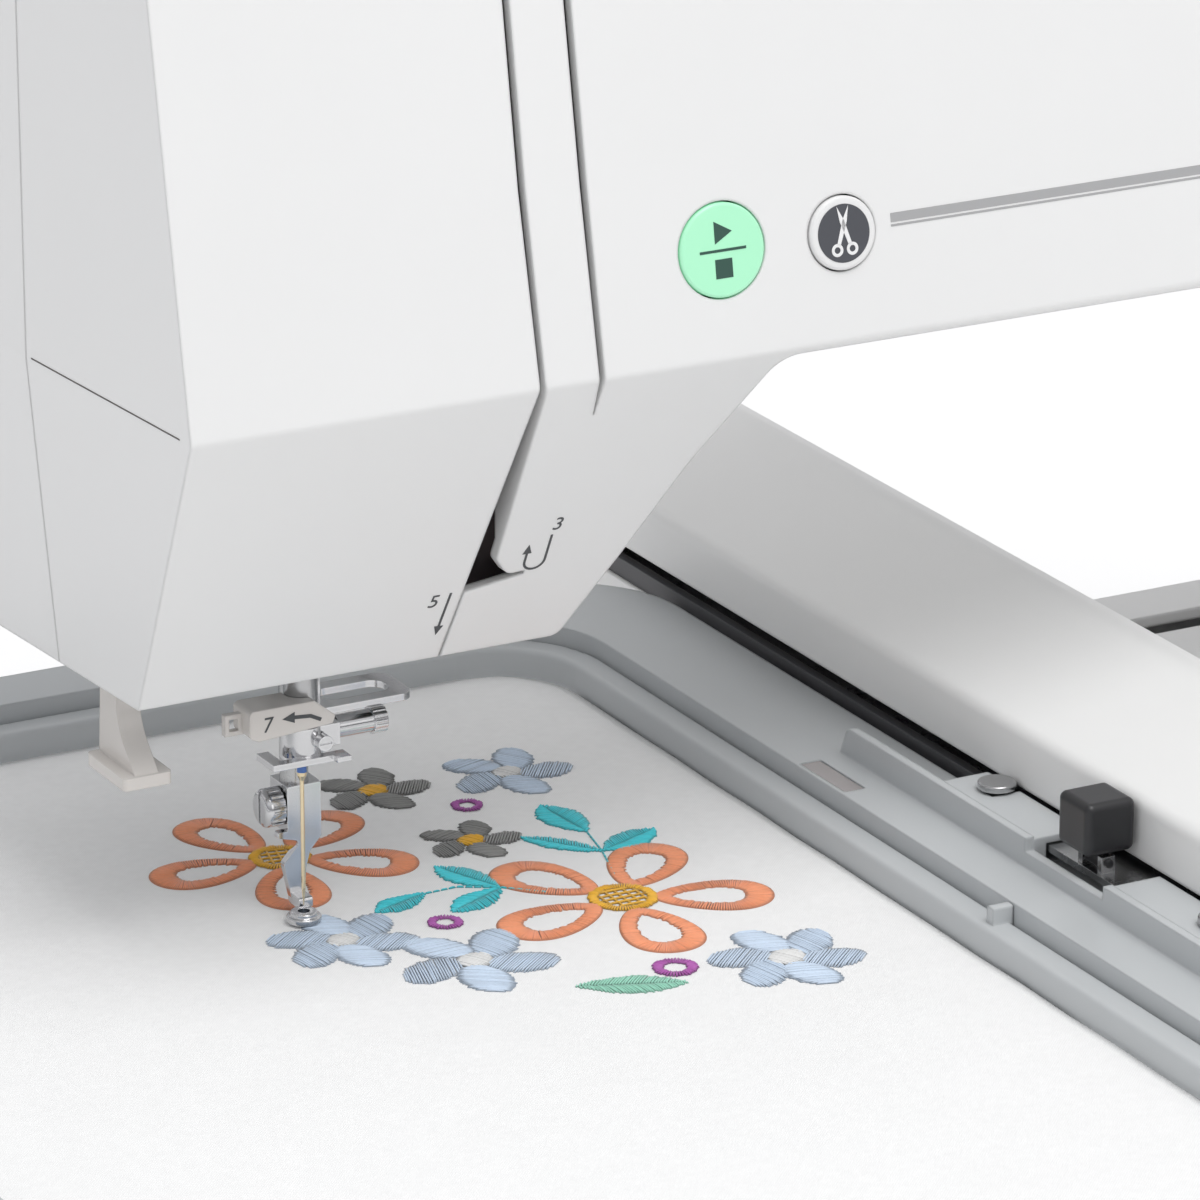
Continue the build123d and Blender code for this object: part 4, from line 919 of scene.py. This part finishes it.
def buildEmbroidery():
    names = ("coral", "gold", "blue", "slate", "teal", "plum", "white", "mint")
    works = {name: Threadwork(finishLooks["thread" + name.capitalize()]["level"]) for name in names}
    for flower in flowers:
        centre, turn, heart = flower["centre"], math.radians(flower["turn"]), flower["heart"]
        if flower["kind"] == "coral":
            for k in range(coralPetal["count"]):
                outlinePetal(works["coral"], centre, turn + math.tau * k / coralPetal["count"], heart - 1.0,
                             flower["reach"], coralPetal["half"] * flower["reach"] / 32.0,
                             coralPetal["band"], coralPetal["tipBand"])
            satinRing(works["gold"], centre, heart - 2.3, heart)
            lattice(works["gold"], centre, heart - 2.0, turn + 0.4, 2.1)
            continue
        for k in range(flower["petals"]):
            angle = turn + math.tau * k / flower["petals"]
            filledPetal(works[flower["kind"]], centre, angle, heart * ovalPetal["near"], flower["reach"],
                        ovalPetal["half"] * flower["reach"])
        filledDisc(works["gold" if flower["kind"] == "slate" else "white"], centre, heart)
    for base, tip, half in leaves:
        leaf(works["teal"], base, tip, half)
    for line in stems:
        runningStitch(works["teal"], line)
    leaf(works["mint"], (33.5, -57.0), (55.0, -66.0), 4.6)
    for centre, radius in plumRings:
        satinRing(works["plum"], centre, radius * 0.5, radius)
    for name, work in works.items():
        work.finish("stitches_" + name, "thread" + name.capitalize())


buildEmbroidery()
print("stage: embroidery sewn")

# light, floor and camera
studio = {
    "floorSize": 14.0, "floorColour": (0.93, 0.93, 0.93), "floorGlow": 0.10, "aimHeight": 0.15,
    "sky": {"horizon": (0.29, 0.295, 0.315), "zenith": (0.74, 0.74, 0.75), "rise": 0.55,
            "flag": (0.06, 0.06, 0.065), "flagFrom": 0.12, "flagTo": 0.42},
    "lights": [
        dict(name="keySoftbox", at=(0.6, -2.8, 1.2), size=1.5, power=5.0, colour=(1.0, 0.99, 0.97)),
        dict(name="leftSoftbox", at=(-2.4, -0.9, 1.5), size=1.2, power=0.8, colour=(0.75, 0.86, 1.0)),
        dict(name="topSoftbox", at=(0.1, -1.1, 2.8), size=2.0, power=41.0, colour=(1.0, 1.0, 1.0)),
    ],
}


def stepBand(tree, value, low, high):
    # 1 between low and high, with soft sides
    width = 0.05
    rise = mathNode(tree, "MULTIPLY", mathNode(tree, "SUBTRACT", value, low), 1 / width, True)
    fall = mathNode(tree, "MULTIPLY", mathNode(tree, "SUBTRACT", value, high), 1 / width, True)
    return mathNode(tree, "SUBTRACT", rise, fall, True)


def buildSky():
    # pale overhead, dimmer at eye level, with one dark flag that gives bright metal its contrast
    look = studio["sky"]
    world = bpy.data.worlds.new("studioWorld")
    world.use_nodes = True
    tree = world.node_tree
    split = addNode(tree, "ShaderNodeSeparateXYZ")
    wire(tree, addNode(tree, "ShaderNodeTexCoord").outputs["Generated"], split.inputs[0])
    height = mathNode(tree, "MAXIMUM", split.outputs["Z"], 0.0)
    up = mathNode(tree, "MULTIPLY", height, 1 / look["rise"], True)
    pale = mixColour(tree, up, look["horizon"], look["zenith"])
    low = mathNode(tree, "SUBTRACT", 1.0, up, True)
    band = stepBand(tree, split.outputs["X"], look["flagFrom"], look["flagTo"])
    flag = mathNode(tree, "MULTIPLY", band, low)
    wire(tree, mixColour(tree, flag, pale, look["flag"]), tree.nodes["Background"].inputs[0])
    tree.nodes["Background"].inputs[1].default_value = 1.0
    bpy.context.scene.world = world


def buildFloor():
    data = bpy.data.meshes.new("floor")
    half = studio["floorSize"]
    low = cadBox[0][2]
    corners = [(-half, -half, low), (half, -half, low), (half, half, low), (-half, half, low)]
    data.from_pydata(corners, [], [(0, 1, 2, 3)])
    floor = bpy.data.objects.new("floor", data)
    bpy.context.collection.objects.link(floor)
    material, tree, shader = startFinish("floorWhite")
    place = addNode(tree, "ShaderNodeTexCoord").outputs["Object"]
    pale = studio["floorColour"]
    drift = mixColour(tree, noiseNode(tree, place, 3.0), shade(pale, 0.985), pale)
    wire(tree, drift, shader.inputs["Base Color"])
    shader.inputs["Roughness"].default_value = 0.7
    shader.inputs["Emission Color"].default_value = (1.0, 1.0, 1.0, 1.0)
    shader.inputs["Emission Strength"].default_value = studio["floorGlow"]
    data.materials.append(material)


def buildLights():
    aim = Vector((0, 0, studio["aimHeight"]))
    for spec in studio["lights"]:
        light = bpy.data.lights.new(spec["name"], "AREA")
        light.shape = "DISK"
        light.size = spec["size"]
        light.energy = spec["power"]
        light.color = spec["colour"]
        lamp = bpy.data.objects.new(spec["name"], light)
        bpy.context.collection.objects.link(lamp)
        lamp.location = spec["at"]
        lamp.rotation_euler = (aim - Vector(spec["at"])).to_track_quat("-Z", "Y").to_euler()
    bpy.context.scene.view_settings.view_transform = "Standard"


cameraLook = {"azimuth": 28.24, "elevation": 19.62, "lens": 210.0, "sensor": 36.0,
              "from": (-585.0, -1219.5, 552.9)}


def buildCamera():
    look = cameraLook
    turn, tilt = math.radians(look["azimuth"]), math.radians(look["elevation"])
    right = Vector((math.cos(turn), -math.sin(turn), 0))
    up = Vector((math.sin(tilt) * math.sin(turn), math.cos(turn) * math.sin(tilt), math.cos(tilt)))
    back = right.cross(up)
    data = bpy.data.cameras.new("studioCamera")
    data.lens, data.sensor_width = look["lens"], look["sensor"]
    data.clip_end = 50.0
    camera = bpy.data.objects.new("studioCamera", data)
    bpy.context.collection.objects.link(camera)
    spot = at(*look["from"])
    camera.matrix_world = Matrix.Translation(spot) @ Matrix((right, up, back)).transposed().to_4x4()
    bpy.context.scene.camera = camera


buildFloor()
buildSky()
buildLights()
buildCamera()
print("stage: studio set")
